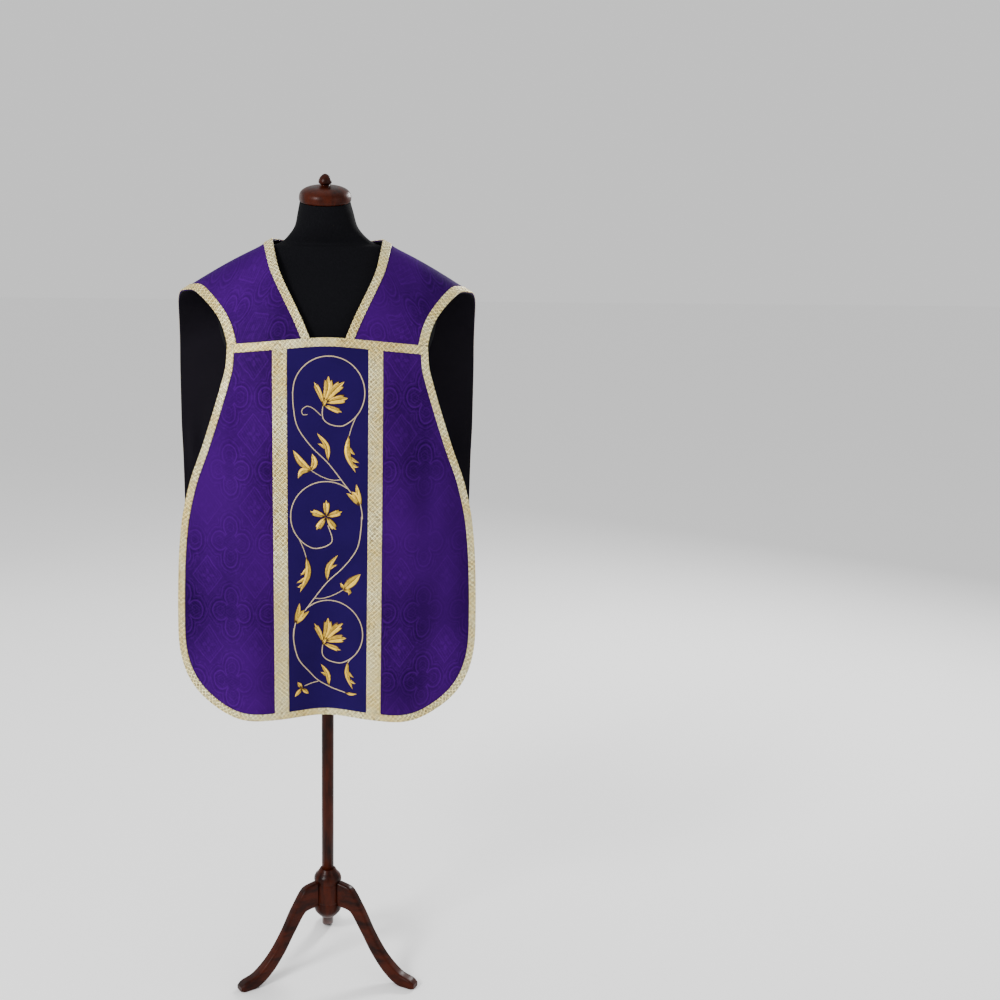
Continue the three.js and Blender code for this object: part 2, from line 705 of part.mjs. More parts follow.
const damask = new THREE.MeshStandardMaterial({ color: 0x35156f, roughness: 0.5, metalness: 0 });
const lining = new THREE.MeshStandardMaterial({ color: 0x0c0a12, roughness: 0.7, metalness: 0 });
const orphrey = new THREE.MeshStandardMaterial({ color: 0x1a1560, roughness: 0.8, metalness: 0 });
const gold = new THREE.MeshStandardMaterial({ color: 0xcbbd8a, roughness: 0.45, metalness: 0.5 });
const jersey = new THREE.MeshStandardMaterial({ color: 0x08080c, roughness: 0.9, metalness: 0 });
const wood = new THREE.MeshStandardMaterial({ color: 0x6b2c14, roughness: 0.35, metalness: 0 });

const stand = new THREE.Group();

function addPiece(name, geometry, material) {
  const mesh = new THREE.Mesh(geometry, material);
  mesh.name = name;
  stand.add(mesh);
  return mesh;
}

const front = frontNet();
const back = backNet();
const allTags = (net) => [...new Set(net.cells.map((cell) => cell.tag))];

addPiece("back", wallOn(back, allTags(back), -DAMASK, 0), damask);
addPiece("back_lining", wallOn(back, allTags(back), -DAMASK - GAP - LINING, -DAMASK - GAP), lining);
addPiece("front", wallOn(front, allTags(front), -DAMASK, 0), damask);

addPiece("front_column", wallOn(front, ["column"], GAP, GAP + ORPHREY), orphrey);
addPiece("back_cross", wallOn(back, ["cross"], GAP, GAP + ORPHREY), orphrey);

const BRAIDS = [
  { name: "chest_band", net: front, tag: "band" },
  { name: "front_galloon_right", net: front, tag: "galloon_right" },
  { name: "front_galloon_left", net: front, tag: "galloon_left" },
  { name: "front_edging", net: front, tag: "edge" },
  { name: "cross_galloon_right", net: back, tag: "galloon_right" },
  { name: "cross_galloon_left", net: back, tag: "galloon_left" },
  { name: "neck_edging_back", net: back, tag: "neck_back" },
  { name: "neck_edging_right", net: back, tag: "neck_right" },
  { name: "neck_edging_left", net: back, tag: "neck_left" },
  { name: "back_edging", net: back, tag: "edge" },
];
for (const { name, net, tag } of BRAIDS) {
  addPiece(name, wallOn(net, [tag], GAP, GAP + BRAID), gold);
}

addPiece("form_body", formSolid(), jersey);

const cap = addPiece("neck_cap", turned(CAP_PROFILE, CAP_SIDES), wood);
cap.rotation.x = NECK_TOP.tilt;
cap.position.set(NECK_TOP.aside, NECK_TOP.centre, NECK_TOP.height);
cap.translateZ(GAP);

addPiece("hub", turned(HUB_PROFILE, HUB_SIDES), wood);
const poleFoot = HUB_PROFILE[HUB_PROFILE.length - 1].height + GAP;
const poleTop = FORM_SECTIONS[0].height - GAP;
const poleLength = poleTop - poleFoot;
const poleSolid = new THREE.CylinderGeometry(POLE_RADIUS, POLE_RADIUS, poleLength, POLE_SIDES);
const pole = addPiece("pole", poleSolid.rotateX(Math.PI / 2), wood);
pole.position.set(0, 0, poleFoot + poleLength / 2);

for (const { name, turn } of LEGS) {
  const leg = addPiece(name, legSolid(), wood);
  leg.rotation.z = degToRad(turn - 90);
}

// The origin is on the floor, below the middle of the whole thing.
stand.updateMatrixWorld(true);
const middle = new THREE.Box3().setFromObject(stand).getCenter(new THREE.Vector3());
stand.position.set(-middle.x, -middle.y, 0);

export default stand;
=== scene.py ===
# %% [markdown]
# # A fiddleback chasuble on a dress form
#
# This vestment is a sleeveless over-garment of violet damask. Its back runs over both shoulders and
# ends in two straps on the chest, which are sewn to a narrower front. Gold braid borders every edge,
# and embroidered bands, the orphreys, run down the front and make a cross on the back.
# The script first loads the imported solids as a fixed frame. Every cloth is then made again as a fine
# shell on the same measurements, so that folds, weave and needlework have room to show.

import bpy
import numpy as np
from mathutils import Matrix, Quaternion, Vector


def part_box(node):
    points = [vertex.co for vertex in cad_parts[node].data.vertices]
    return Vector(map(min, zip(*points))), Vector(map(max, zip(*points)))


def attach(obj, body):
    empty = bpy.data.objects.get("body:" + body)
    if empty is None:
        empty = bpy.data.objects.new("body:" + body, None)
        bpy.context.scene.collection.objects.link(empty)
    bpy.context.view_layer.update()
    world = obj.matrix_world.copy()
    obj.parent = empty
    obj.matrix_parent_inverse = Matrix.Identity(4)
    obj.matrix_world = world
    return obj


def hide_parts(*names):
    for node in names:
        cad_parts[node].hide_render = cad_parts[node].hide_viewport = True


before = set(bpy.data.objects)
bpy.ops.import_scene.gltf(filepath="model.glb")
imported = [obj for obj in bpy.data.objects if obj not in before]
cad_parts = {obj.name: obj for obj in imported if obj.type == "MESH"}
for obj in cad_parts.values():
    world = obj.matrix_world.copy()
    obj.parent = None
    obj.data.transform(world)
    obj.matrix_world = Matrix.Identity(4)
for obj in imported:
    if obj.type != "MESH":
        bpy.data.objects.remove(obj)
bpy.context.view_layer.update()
pole_low, pole_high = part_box("pole")
FORM_Y = (pole_low.y + pole_high.y) / 2
print("nodes", len(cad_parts), "form axis at y =", round(FORM_Y, 4))

# %% [markdown]
# ## Camera, light and floor
#
# The object is seen from the height of its shoulders, 2.8 m in front of it, with the lens aimed a
# little down. Broad area lights give the even, soft light of a shop photograph, so that the folds
# are drawn by slow changes of tone and not by hard shadows.

# %% Aim the camera
CAMERA_PLACE = Vector((0, FORM_Y - 2.8, 1.591))
PAN, TILT, ROLL = np.radians([3.065, 12.769, 0.674])

lens = bpy.data.cameras.new("camera")
lens.sensor_width, lens.lens = 36, 49.81
lens.shift_x, lens.shift_y = 0.1, 0.045
camera = bpy.data.objects.new("camera", lens)
bpy.context.scene.collection.objects.link(camera)
bpy.context.scene.camera = camera
forward = Vector((np.sin(PAN) * np.cos(TILT), np.cos(PAN) * np.cos(TILT), -np.sin(TILT)))
turn = forward.to_track_quat("-Z", "Y") @ Quaternion((0, 0, 1), ROLL)
camera.matrix_world = Matrix.Translation(CAMERA_PLACE) @ turn.to_matrix().to_4x4()
print("camera", [round(c, 3) for c in camera.location])


# %% Place the lights
MIDDLE = Vector((0, 0, 1.1))


def area_light(name, place, size, power):
    """A square lamp of that size in metres, aimed from its place at the middle of the object."""
    data = bpy.data.lights.new(name, "AREA")
    data.energy, data.size = power, size
    lamp = bpy.data.objects.new(name, data)
    aim = (MIDDLE - Vector(place)).to_track_quat("-Z", "Y")
    lamp.matrix_world = Matrix.Translation(place) @ aim.to_matrix().to_4x4()
    bpy.context.scene.collection.objects.link(lamp)


area_light("key", (-2.3, -2.6, 2.7), 1.0, 150)
area_light("fill", (2.6, -2.4, 1.9), 2.2, 20)
area_light("back_key", (2.3, 2.6, 2.7), 1.0, 142)
area_light("back_fill", (-2.6, 2.4, 1.9), 2.2, 20)
area_light("top", (0, 0, 4.2), 2.4, 12)

world = bpy.data.worlds.new("studio")
world.use_nodes = True
world.node_tree.nodes["Background"].inputs["Color"].default_value = (1, 1, 1, 1)
world.node_tree.nodes["Background"].inputs["Strength"].default_value = 0.86
bpy.context.scene.world = world

# %% [markdown]
# ## Shader maths
#
# Patterns such as damask are sums and comparisons of coordinates. The small class below wraps a
# node's output, so that such a sum can be written as one line of Python instead of a chain of nodes.


# %% Wrap a socket
class Wire:
    """A value that runs through a material. Operators on it add Math nodes."""

    def __init__(self, cloth, socket):
        self.cloth, self.socket = cloth, socket

    def maths(self, operation, *others, clamp=False):
        settings = {"operation": operation, "use_clamp": clamp}
        return self.cloth.node("ShaderNodeMath", settings, [self, *others])

    def __add__(self, other):
        return self.maths("ADD", other)

    def __sub__(self, other):
        return self.maths("SUBTRACT", other)

    def __rsub__(self, other):
        return self.cloth.node("ShaderNodeMath", {"operation": "SUBTRACT"}, [other, self])

    def __mul__(self, other):
        return self.maths("MULTIPLY", other)

    def __truediv__(self, other):
        return self.maths("DIVIDE", other)

    __radd__, __rmul__ = __add__, __mul__

    def size(self):
        return self.maths("ABSOLUTE")

    def least(self, other):
        return self.maths("MINIMUM", other)

    def most(self, other):
        return self.maths("MAXIMUM", other)

    def folded(self, period):
        """The distance to the nearest multiple of the period."""
        return self.maths("PINGPONG", period / 2)

    def step(self, low, high):
        """0 below low and 1 above high, with a smooth rise between them. Low may be the greater."""
        settings = {"interpolation_type": "SMOOTHSTEP"}
        inputs = {"Value": self, "From Min": low, "From Max": high}
        return self.cloth.node("ShaderNodeMapRange", settings, inputs)

    def line(self, at, width):
        """1 where the value is near at, and 0 further off than the width."""
        return (self - at).size().step(width, width * 0.35)


class Finish:
    """A material whose nodes are added by node, and whose main shader is the Principled one."""

    def __init__(self, name):
        self.material = bpy.data.materials.new(name)
        self.material.use_nodes = True
        self.tree = self.material.node_tree
        self.shader = self.tree.nodes["Principled BSDF"]

    def node(self, kind, settings=None, inputs=(), output=0):
        made = self.tree.nodes.new(kind)
        for key, value in (settings or {}).items():
            setattr(made, key, value)
        named = inputs.items() if isinstance(inputs, dict) else enumerate(inputs)
        for key, value in named:
            if isinstance(value, Wire):
                self.tree.links.new(value.socket, made.inputs[key])
            else:
                made.inputs[key].default_value = value
        return Wire(self, made.outputs[output])

    def fixed(self, **values):
        for key, value in values.items():
            self.shader.inputs[key.replace("_", " ")].default_value = value

    def feeds(self, key, wire):
        self.tree.links.new(wire.socket, self.shader.inputs[key])

    def mixed(self, share, first, second):
        """A colour between two others."""
        colours = [c if isinstance(c, Wire) else (*c, 1) for c in (first, second)]
        inputs = {0: share, 6: colours[0], 7: colours[1]}
        return self.node("ShaderNodeMix", {"data_type": "RGBA"}, inputs, output=2)

    def uv(self):
        """The two coordinates of the cloth's own map, in millimetres."""
        spread = self.node("ShaderNodeUVMap", {"uv_map": "UVMap"})
        parts = self.node("ShaderNodeSeparateXYZ", None, [spread])
        other = Wire(self, parts.socket.node.outputs[1])
        return parts * 1000, other * 1000

    def noise(self, scale, detail=3, stretch=(1, 1, 1), roughness=0.5):
        """Soft random mottling on Object coordinates, from 0 to 1."""
        place = self.node("ShaderNodeTexCoord", None, (), output=3)
        spread = self.node("ShaderNodeMapping", None, {"Vector": place, "Scale": stretch})
        inputs = {"Vector": spread, "Scale": scale, "Detail": detail, "Roughness": roughness}
        return self.node("ShaderNodeTexNoise", None, inputs)

    def bump(self, height, distance, strength=1):
        inputs = {"Height": height, "Distance": distance, "Strength": strength}
        self.feeds("Normal", self.node("ShaderNodeBump", None, inputs))


# %% [markdown]
# ## The finishes
#
# Damask is woven in one colour. Its pattern shows only because the figure and the ground reflect the
# light differently: satin threads shine, and the ribbed ground stays dull. Here that becomes two near
# shades of violet with different roughness. The pattern is a common one, lobed quatrefoils and
# diamonds on a lattice, drawn with ellipses and distances.

# %% Violet damask
REPEAT_WIDE, REPEAT_HIGH = 95, 142
# Centre across and up, half width, half height of the ovals, in millimetres.
UPPER_LOBE, SIDE_LOBE, HEART = (0, 30, 14, 20), (23, 0, 15, 19), (0, 0, 15, 18)
DIAMOND_WIDE, DIAMOND_HIGH = 30, 40
SPRIG_LEAF, SPRIG_SIDE = (0, 9, 3.4, 7), (8, 0, 6, 4)
WAVER = 9


def lobe_distance(across, up, oval):
    """1 on the outline of an upright oval, less inside it."""
    at_across, at_up, wide, high = oval
    level, upright = (across - at_across) / wide, (up - at_up) / high
    return (level * level + upright * upright).maths("SQRT")


def damask_pattern(cloth):
    """How satin the weave is at a point, above 0 where it shines and below 0 where it is dull. Each
    repeat has a dull quatrefoil of four lobes inside scalloped lines, and a diamond between the
    quatrefoils. The lines waver a little, as woven ones do."""
    u, v = cloth.uv()
    waver = cloth.noise(26, detail=2) * WAVER - WAVER / 2
    across, up = (u + waver).folded(REPEAT_WIDE), (v + waver).folded(REPEAT_HIGH)
    lobes = lobe_distance(across, up, UPPER_LOBE).least(lobe_distance(across, up, SIDE_LOBE))
    shape = lobes.least(lobe_distance(across, up, HEART))
    inside = shape.step(0.92, 0.8)
    feathers = (across * 0.7 + up).folded(6) / 3
    scallops = (across * 0.8 + up * 0.5).folded(8.5) / 4.25
    light_lines = shape.line(1.0, 0.1).most(shape.line(1.42 + scallops * 0.12, 0.08) * 0.75)
    light_lines = light_lines.most(shape.line(1.9 - scallops * 0.2, 0.07) * (0.3 + scallops * 0.6))
    light_lines = light_lines.most(lobes.line(0.5, 0.09) * 0.55)
    dark_lines = shape.line(1.2, 0.12).most(shape.line(1.66, 0.1) * 0.5)
    from_side, from_top = REPEAT_WIDE / 2 - across, REPEAT_HIGH / 2 - up
    diamond = from_side / DIAMOND_WIDE + from_top / DIAMOND_HIGH
    beyond = diamond.step(0.98, 1.06)
    frame_lines = diamond.line(1, 0.06) + diamond.line(0.8, 0.035) * 0.5
    sprig = lobe_distance(from_side, from_top, SPRIG_LEAF)
    sprig_lines = sprig.least(lobe_distance(from_side, from_top, SPRIG_SIDE)).step(1.0, 0.8) * 0.6
    veins = (u + v * 0.6).folded(13).line(3, 1.2) * 0.25
    figure = (light_lines * 0.5 - dark_lines * 0.24 - inside * (0.24 - feathers * 0.26)) * beyond
    return figure + frame_lines * 0.45 + sprig_lines * 0.5 + veins * (1 - beyond), u, v


damask = Finish("violet_damask")
figure, u, v = damask_pattern(damask)
cloudy = damask.noise(5.5, detail=3)
# Painted sheen: the figure stands out more strongly in random patches, where the satin would catch the light.
sheen_patches = damask.noise(4.3, detail=2).step(0.38, 0.62) * 0.75 + 0.25
# Painted shade: long soft zones, stretched up and down, lighten and darken the cloth as drape folds would.
painted_drape_shade = damask.noise(5.0, detail=1, stretch=(1.6, 1.6, 0.45)).step(0.3, 0.7)
thread = (u + v).folded(1.1) / 0.55
foliage = damask.noise(62, detail=3, roughness=0.7).line(0.5, 0.05) * sheen_patches
tone = figure * sheen_patches * 0.56 + foliage * 0.1 + 0.09 + cloudy.step(0.3, 0.72) * 0.2 + painted_drape_shade * 0.3
tone = tone.maths("ADD", 0, clamp=True)
damask.feeds("Base Color", damask.mixed(tone, (0.0088, 0.0001, 0.033), (0.054, 0.0013, 0.150)))
damask.feeds("Roughness", 0.56 - tone * 0.16)
damask.bump(tone * 0.5 + thread * 0.4, 0.0003, 0.5)
damask.fixed(Sheen_Weight=0.02, Sheen_Roughness=0.3, Sheen_Tint=(0.25, 0.05, 1, 1))
damask.fixed(Specular_IOR_Level=0.05, IOR=1.25)

# %% Near-black lining
lining = Finish("black_lining")
u, v = lining.uv()
ribs = (u * 0.7 + v).folded(1.3) / 0.65
lining.feeds("Base Color", lining.mixed(lining.noise(9), (0.0024, 0.0016, 0.004), (0.0062, 0.004, 0.0092)))
lining.feeds("Roughness", 0.55 + ribs * 0.1)
lining.bump(ribs, 0.0002, 0.4)
lining.fixed(Sheen_Weight=0.02, Sheen_Roughness=0.4, Specular_IOR_Level=0.15)

# %% [markdown]
# The orphrey's ground is a dense matt blue-violet cloth. Gold satin stitch lies on it: rows of
# parallel metallic threads, bright where they face the light and brown where they turn down at an
# edge. That shade is painted into the colour from the place across each petal: darker at its edges,
# in its middle groove, on one half and at its base, plus fine stitch lines with painted shade between them.

# %% Orphrey ground and its threads
ground = Finish("orphrey_ground")
u, v = ground.uv()
warp, weft = u.folded(1.0) / 0.5, v.folded(1.0) / 0.5
ground.feeds("Base Color", ground.mixed(ground.noise(11), (0.0058, 0.0008, 0.035), (0.0115, 0.002, 0.064)))
ground.feeds("Roughness", 0.78 + warp * 0.08)
ground.bump(warp.most(weft), 0.00025, 0.5)
ground.fixed(Sheen_Weight=0.04, Sheen_Roughness=0.5, Sheen_Tint=(0.4, 0.3, 1, 1), Specular_IOR_Level=0.05)

satin_stitch = Finish("gold_satin_stitch")
u, v = satin_stitch.uv()
stitches = (u + v * 2.5).folded(1.1) / 0.55
# Painted shade: darker at a petal's edges, along its middle groove, on one half, at its base and between the
# stitches. The noise adds uneven tone at random.
at_edge = v.size().step(0.7, 1.0)
middle_groove_shade = v.size().step(0.15, 0.02)
shaded_half = v.step(-0.15, 0.2)
base_shade = u.step(9, 1)
uneven = satin_stitch.noise(260, detail=1).step(0.35, 0.7)
painted_shade_and_mottle = at_edge + middle_groove_shade * 0.65 + shaded_half * 0.45 + base_shade * 0.65
painted_shade_and_mottle = painted_shade_and_mottle + (1 - stitches) * 0.2 + uneven * 0.2
painted_shade_and_mottle = painted_shade_and_mottle.maths("ADD", -0.08, clamp=True)
# The second colour is the dark brown of the painted shade.
satin_stitch.feeds("Base Color", satin_stitch.mixed(painted_shade_and_mottle, (1.0, 0.62, 0.05), (0.038, 0.010, 0.0004)))
satin_stitch.feeds("Roughness", 0.36 + stitches * 0.12)
satin_stitch.bump(stitches, 0.0003, 0.5)
satin_stitch.fixed(Metallic=0.6)

stem_cord = Finish("silver_gilt_cord")
u, v = stem_cord.uv()
twist = (u + v).folded(2.2) / 1.1
# Painted shade: each strand of the twisted cord is dark brown in the groove beside it and pale gold on its
# crown.
stem_cord.feeds("Base Color", stem_cord.mixed(twist, (0.26, 0.17, 0.08), (0.74, 0.59, 0.38)))
stem_cord.bump(twist, 0.0004, 0.6)
stem_cord.fixed(Metallic=0.4, Roughness=0.42)

# %% [markdown]
# The gold braid is a woven galloon: metallic threads cross in a lozenge lattice with a small knot in
# each lozenge, between two plain selvedges. Its own map runs along and across the ribbon, so the
# lattice follows every curve and turns the corners of the cross as folded ribbon does.

# %% Gold galloon
LOZENGE = 9.5
galloon = Finish("gold_galloon")
along_braid, across_braid = galloon.uv()
first, second = (along_braid + across_braid).folded(LOZENGE), (along_braid - across_braid).folded(LOZENGE)
lattice = first.step(1.8, 1.1).most(second.step(1.8, 1.1))
knots = first.step(3.0, 3.6) * second.step(3.0, 3.6)
rib = along_braid.folded(1.2) / 0.6
gaps = galloon.noise(330, detail=0).step(0.56, 0.66)
relief = (lattice * 0.85 + knots * 0.85 + rib * 0.2 - gaps * 0.5).maths("MINIMUM", 1).most(0)
# Painted glints and reflections: paler, brighter gold in small specks and in long patches along the braid.
glint = galloon.noise(160, detail=1)
shine = (glint.step(0.3, 0.7) + galloon.noise(11, detail=1).step(0.35, 0.65)) * 0.5
bright = galloon.mixed(shine, (0.88, 0.66, 0.19), (1.0, 0.95, 0.55))
# Painted shade: the low weave between the raised lattice, knots and ribs, and at random specks, takes the
# dark brown.
galloon.feeds("Base Color", galloon.mixed(relief, (0.07, 0.034, 0.003), bright))
galloon.feeds("Roughness", 0.5 - glint * 0.18)
galloon.bump(relief, 0.0006, 0.7)
galloon.fixed(Metallic=0.25)

# %% Jersey and wood of the form
jersey = Finish("black_jersey")
loops = jersey.noise(420, detail=1, stretch=(1, 1, 0.5))
jersey.feeds("Base Color", jersey.mixed(loops, (0.0009, 0.0009, 0.0015), (0.0036, 0.0036, 0.005)))
jersey.bump(loops, 0.0004, 0.5)
jersey.fixed(Roughness=0.9, Specular_IOR_Level=0.08)


def polished_wood(name, stretch):
    """Red-brown stained wood under varnish: long streaks from noise stretched along the grain."""
    wood = Finish(name)
    grain = wood.noise(38, detail=5, stretch=stretch, roughness=0.65)
    streak = grain.step(0.32, 0.68)
    wood.feeds("Base Color", wood.mixed(streak, (0.006, 0.0008, 0.0002), (0.042, 0.0058, 0.0012)))
    wood.feeds("Roughness", 0.32 + streak * 0.1)
    wood.bump(streak, 0.0002, 0.3)
    wood.fixed(Coat_Weight=0.03, Coat_Roughness=0.14, Specular_IOR_Level=0.2, IOR=1.3)
    return wood


turned_wood = polished_wood("turned_wood", (1, 1, 0.25))
leg_wood = polished_wood("leg_wood", (0.35, 0.35, 1))

# %% [markdown]
# ## How the cloth hangs
#
# The cloth's place is a formula. Below the shoulder line it slopes off the shoulders and then hangs
# plumb, and the lesser of the two depths is taken, with the edge between them rounded. Folds are
# added as soft troughs and ridges that start at a height and deepen towards the hem. The numbers are
# millimetres from the floor and from the form's axis. They are those of the solids, apart from a
# narrower edge braid, and a second table adds the finer creases that only show in the light.

# %% Measurements of the cut
NECK_HEIGHT, NECK_HALF = 1569, 109
NECK_CORNER_RISE, NECK_CORNER_REACH = 5, 20
NECK_DIP = 10
TIP_HALF = 290
SHOULDER_SLOPE, SHOULDER_ROUNDING, SHOULDER_DEPTH = 0.78, 200, 15
SEAM_HEIGHT, SEAM_SLOPE, SEAM_ROUNDING, SEAM_HALF = 1392, 0.1, 30, 193
COLUMN, GALLOON_WIDE, EDGE_BRAID, STRAP_BRAID, NECK_BRAID, CHEST_BAND = 78, 28, 14, 18, 17, 17
ARM_REACH, ARM_TOP, ARM_BOTTOM = 242, 1429, 1286
YOKE_FOOT = ARM_TOP + GALLOON_WIDE
DAMASK, LINING, ORPHREY, BRAID, GAP = 1.6, 1.0, 1.2, 1.6, 0.3

# Height, reach from the form's axis.
FRONT_HANG = [(1500, 136), (1376, 142), (1290, 150), (1100, 155), (880, 158), (630, 164)]
BACK_HANG = [(1620, 84), (1540, 104), (1454, 120), (1350, 130), (1150, 134), (860, 139), (560, 149)]
# Height, half width.
FRONT_EDGE = [(1375, 193), (1339, 195), (1300, 204.5), (1262, 216), (1183, 242), (1103, 270.5)]
FRONT_EDGE += [(1022, 288), (940, 295.5), (857, 298.5), (815, 299)]
BACK_EDGE = [(1472, 290), (1467, 295), (1458, 299), (1446, 301.5), (1426, 303), (1383, 304.5)]
BACK_EDGE += [(1297, 306), (1207, 306), (1117, 304), (909, 302.5), (766, 300)]
# Share of the strap from the shoulder to the chest seam, half width.
STRAP_NECK = [(0, 109), (0.09, 105), (0.18, 101), (0.3, 95), (0.44, 84), (0.59, 70), (0.84, 47), (1, 34)]
STRAP_ARM = [(0, 290), (0.1, 267), (0.27, 248), (0.46, 229), (0.63, 213), (0.77, 203), (0.89, 197), (1, 193)]
# Rounded hem corners: top, side, straight part of the hem, hem height, power of the superellipse.
FRONT_HEM, BACK_HEM = 630, 592
FRONT_CORNER = (815, 299, 120, FRONT_HEM, 2.45)
BACK_CORNER = (766, 300, 115, BACK_HEM, 2.4)

# %% Folds and creases
# Height where it starts, place there, place at the hem, half width, depth towards the wearer.
FRONT_FOLDS = [
    (1000, 0, -4, 76, 42),
    (1230, -140, -168, 52, -11),
    (1180, -196, -238, 44, 9),
    (1240, 138, 158, 50, -9),
    (1150, 192, 226, 48, 11),
]
BACK_FOLDS = [
    (1330, -205, -196, 46, 12),
    (1200, -268, -262, 40, -8),
    (1290, -140, -136, 40, -6),
    (1330, 182, 204, 44, 11),
    (1150, 258, 246, 42, 9),
    (1260, 136, 140, 38, -7),
]
# Highest point, its place, lowest point, its place, half width, depth. They fade out at both ends.
FRONT_CREASES = [
    (1385, -128, 930, -232, 26, 5.5),
    (1300, -190, 760, -170, 24, -4.5),
    (1380, 128, 900, 222, 25, 5.0),
    (1220, 240, 700, 170, 26, -4.5),
    (1350, -176, 1010, -120, 15, 2.6),
    (1330, -186, 1100, -205, 13, -2.2),
    (1240, -222, 900, -262, 16, 2.4),
    (1350, 172, 1040, 122, 15, -2.0),
    (1300, 186, 940, 214, 16, 2.6),
    (1090, 262, 780, 250, 18, -2.4),
    (1000, -132, 700, -146, 15, 1.8),
    (960, 136, 690, 128, 14, 1.8),
    (1450, -140, 1400, -60, 9, 1.4),
    (1500, -190, 1405, -125, 12, 2.0),
    (1500, 205, 1410, 150, 12, -1.8),
    (1440, 120, 1400, 178, 9, 1.5),
]
BACK_CREASES = [
    (1262, -250, 700, -205, 24, 5.0),
    (1262, -150, 640, -196, 22, -4.0),
    (1262, 150, 700, 206, 24, 4.6),
    (1250, 262, 640, 190, 24, -4.2),
    (1240, -232, 820, -238, 16, 2.6),
    (1230, -122, 900, -118, 12, -1.6),
    (1200, 232, 760, 226, 17, -2.6),
    (1180, 120, 860, 126, 12, 1.8),
    (1000, -160, 680, -172, 15, -2.0),
    (980, 166, 660, 178, 15, 2.2),
    (1250, -284, 1000, -282, 12, 1.8),
    (1560, -170, 1480, -240, 13, 1.8),
    (1555, 160, 1485, 235, 13, -1.7),
    (1545, 130, 1475, 150, 10, 1.3),
]


# %% The surface as a function
def along(table, at):
    """A smooth curve through a table's rows, with no overshoot. Between two rows it is a Hermite
    piece, whose slope at a row is the harmonic mean of the rises on both sides."""
    keys, values = np.array(sorted(table), float).T
    rise = np.diff(values) / np.diff(keys)
    slope = np.concatenate([rise[:1], np.zeros(len(keys) - 2), rise[-1:]])
    before, after = rise[:-1], rise[1:]
    steady = before * after > 0
    slope[1:-1][steady] = 2 * (before * after)[steady] / (before + after)[steady]
    at = np.clip(at, keys[0], keys[-1])
    i = np.clip(np.searchsorted(keys, at) - 1, 0, len(keys) - 2)
    step = keys[i + 1] - keys[i]
    t = (at - keys[i]) / step
    start = (1 + 2 * t) * (1 - t) ** 2 * values[i] + t * (1 - t) ** 2 * step * slope[i]
    return start + t * t * (3 - 2 * t) * values[i + 1] + t * t * (t - 1) * step * slope[i + 1]


def blend(a, b, share):
    return a + (b - a) * share


def soft_min(a, b, width):
    """The lesser of two depths, rounded where they cross."""
    overlap = np.maximum(width - np.abs(a - b), 0) / width
    return np.minimum(a, b) - overlap**2 * width / 4


def shoulder_height(x):
    """The shoulder line: a hyperbola that falls outwards, with stiff corners beside the neck."""
    out = np.hypot(x, SHOULDER_ROUNDING) - np.hypot(NECK_HALF, SHOULDER_ROUNDING)
    corner = np.exp(-(((np.abs(x) - NECK_HALF) / NECK_CORNER_REACH) ** 2))
    return NECK_HEIGHT - SHOULDER_SLOPE * out + NECK_CORNER_RISE * corner


def seam_height(x):
    return SEAM_HEIGHT - SEAM_SLOPE * (np.hypot(x, SEAM_ROUNDING) - SEAM_ROUNDING)


def relief(folds, creases, hem, x, z):
    """The sum of the folds, Gaussian across and deepening downwards, and of the creases, Gaussian
    across and fading out at both ends."""
    total = np.zeros(np.broadcast(x, z).shape)
    for start, at_top, at_hem, half, depth in folds:
        down = np.clip((start - z) / (start - hem), 0, 1)
        total += depth * down * (2 - down) * np.exp(-(((x - blend(at_top, at_hem, down)) / half) ** 2))
    for top, at_top, foot, at_foot, half, depth in creases:
        down = np.clip((top - z) / (top - foot), 0, 1)
        away = (x - blend(at_top, at_foot, down)) / half
        total += depth * np.sin(np.pi * down) ** 2 * np.exp(-(away**2))
    return total


# Slope off the shoulder, its rounding, half width, depth and power of the panel's bow, and the
# rounding between the slope and the plumb fall.
FRONT_FALL = (0.57, 108, 300, 50, 2.6, 60)
BACK_FALL = (0.8, 60, 306, 28, 2.6, 45)
# Where the wearer's left side begins to sag, its height and place, and how far it sags at the hem.
FRONT_SAG = (1200, -40, 6)
BACK_SAG = (1350, -60, 24)
SAG_SIDE = 270


def hung(x, z, sign, hang, fall):
    """How far the cloth is from the form's axis: sloping off the shoulder, or hanging."""
    slope, rounding, bow_half, bow_depth, power, width = fall
    drop = np.maximum(shoulder_height(x) - z, 0)
    sloping = slope * np.sqrt(drop**2 + 2 * rounding * drop) + sign * SHOULDER_DEPTH
    hanging = along(hang, z) - bow_depth * (np.abs(x) / bow_half) ** power
    return soft_min(sloping, hanging, width)


def sagged(x, z, sag, hem):
    """The height after the sag, which grows towards the side and towards the hem."""
    start, start_x, drop = sag
    down = np.clip((start - z) / (start - hem), 0, 1)
    across = np.clip((x - start_x) / (SAG_SIDE - start_x), 0, 1)
    return z - drop * across**2 * (3 - 2 * across) * down**2


def on_front(x, z):
    """Points of the outer face of the cloth on the wearer's front."""
    y = relief(FRONT_FOLDS, FRONT_CREASES, FRONT_HEM, x, z) - hung(x, z, -1, FRONT_HANG, FRONT_FALL)
    return np.stack(np.broadcast_arrays(x, y, sagged(x, z, FRONT_SAG, FRONT_HEM)), -1)


def on_back(x, z):
    """Points of the outer face of the cloth on the wearer's back."""
    y = hung(x, z, 1, BACK_HANG, BACK_FALL) - relief(BACK_FOLDS, BACK_CREASES, BACK_HEM, x, z)
    return np.stack(np.broadcast_arrays(x, y, sagged(x, z, BACK_SAG, BACK_HEM)), -1)


print("front hem", on_front(np.array(0.0), np.array(float(FRONT_HEM))).round(1))

# %% [markdown]
# ## From points to cloth
#
# A net is one or more grids of points, welded where they meet. A wall is the net moved out and in
# along its own directions, closed all round its rim. Every cloth and braid here is such a wall, so
# each has a real thickness and follows the cloth below it.


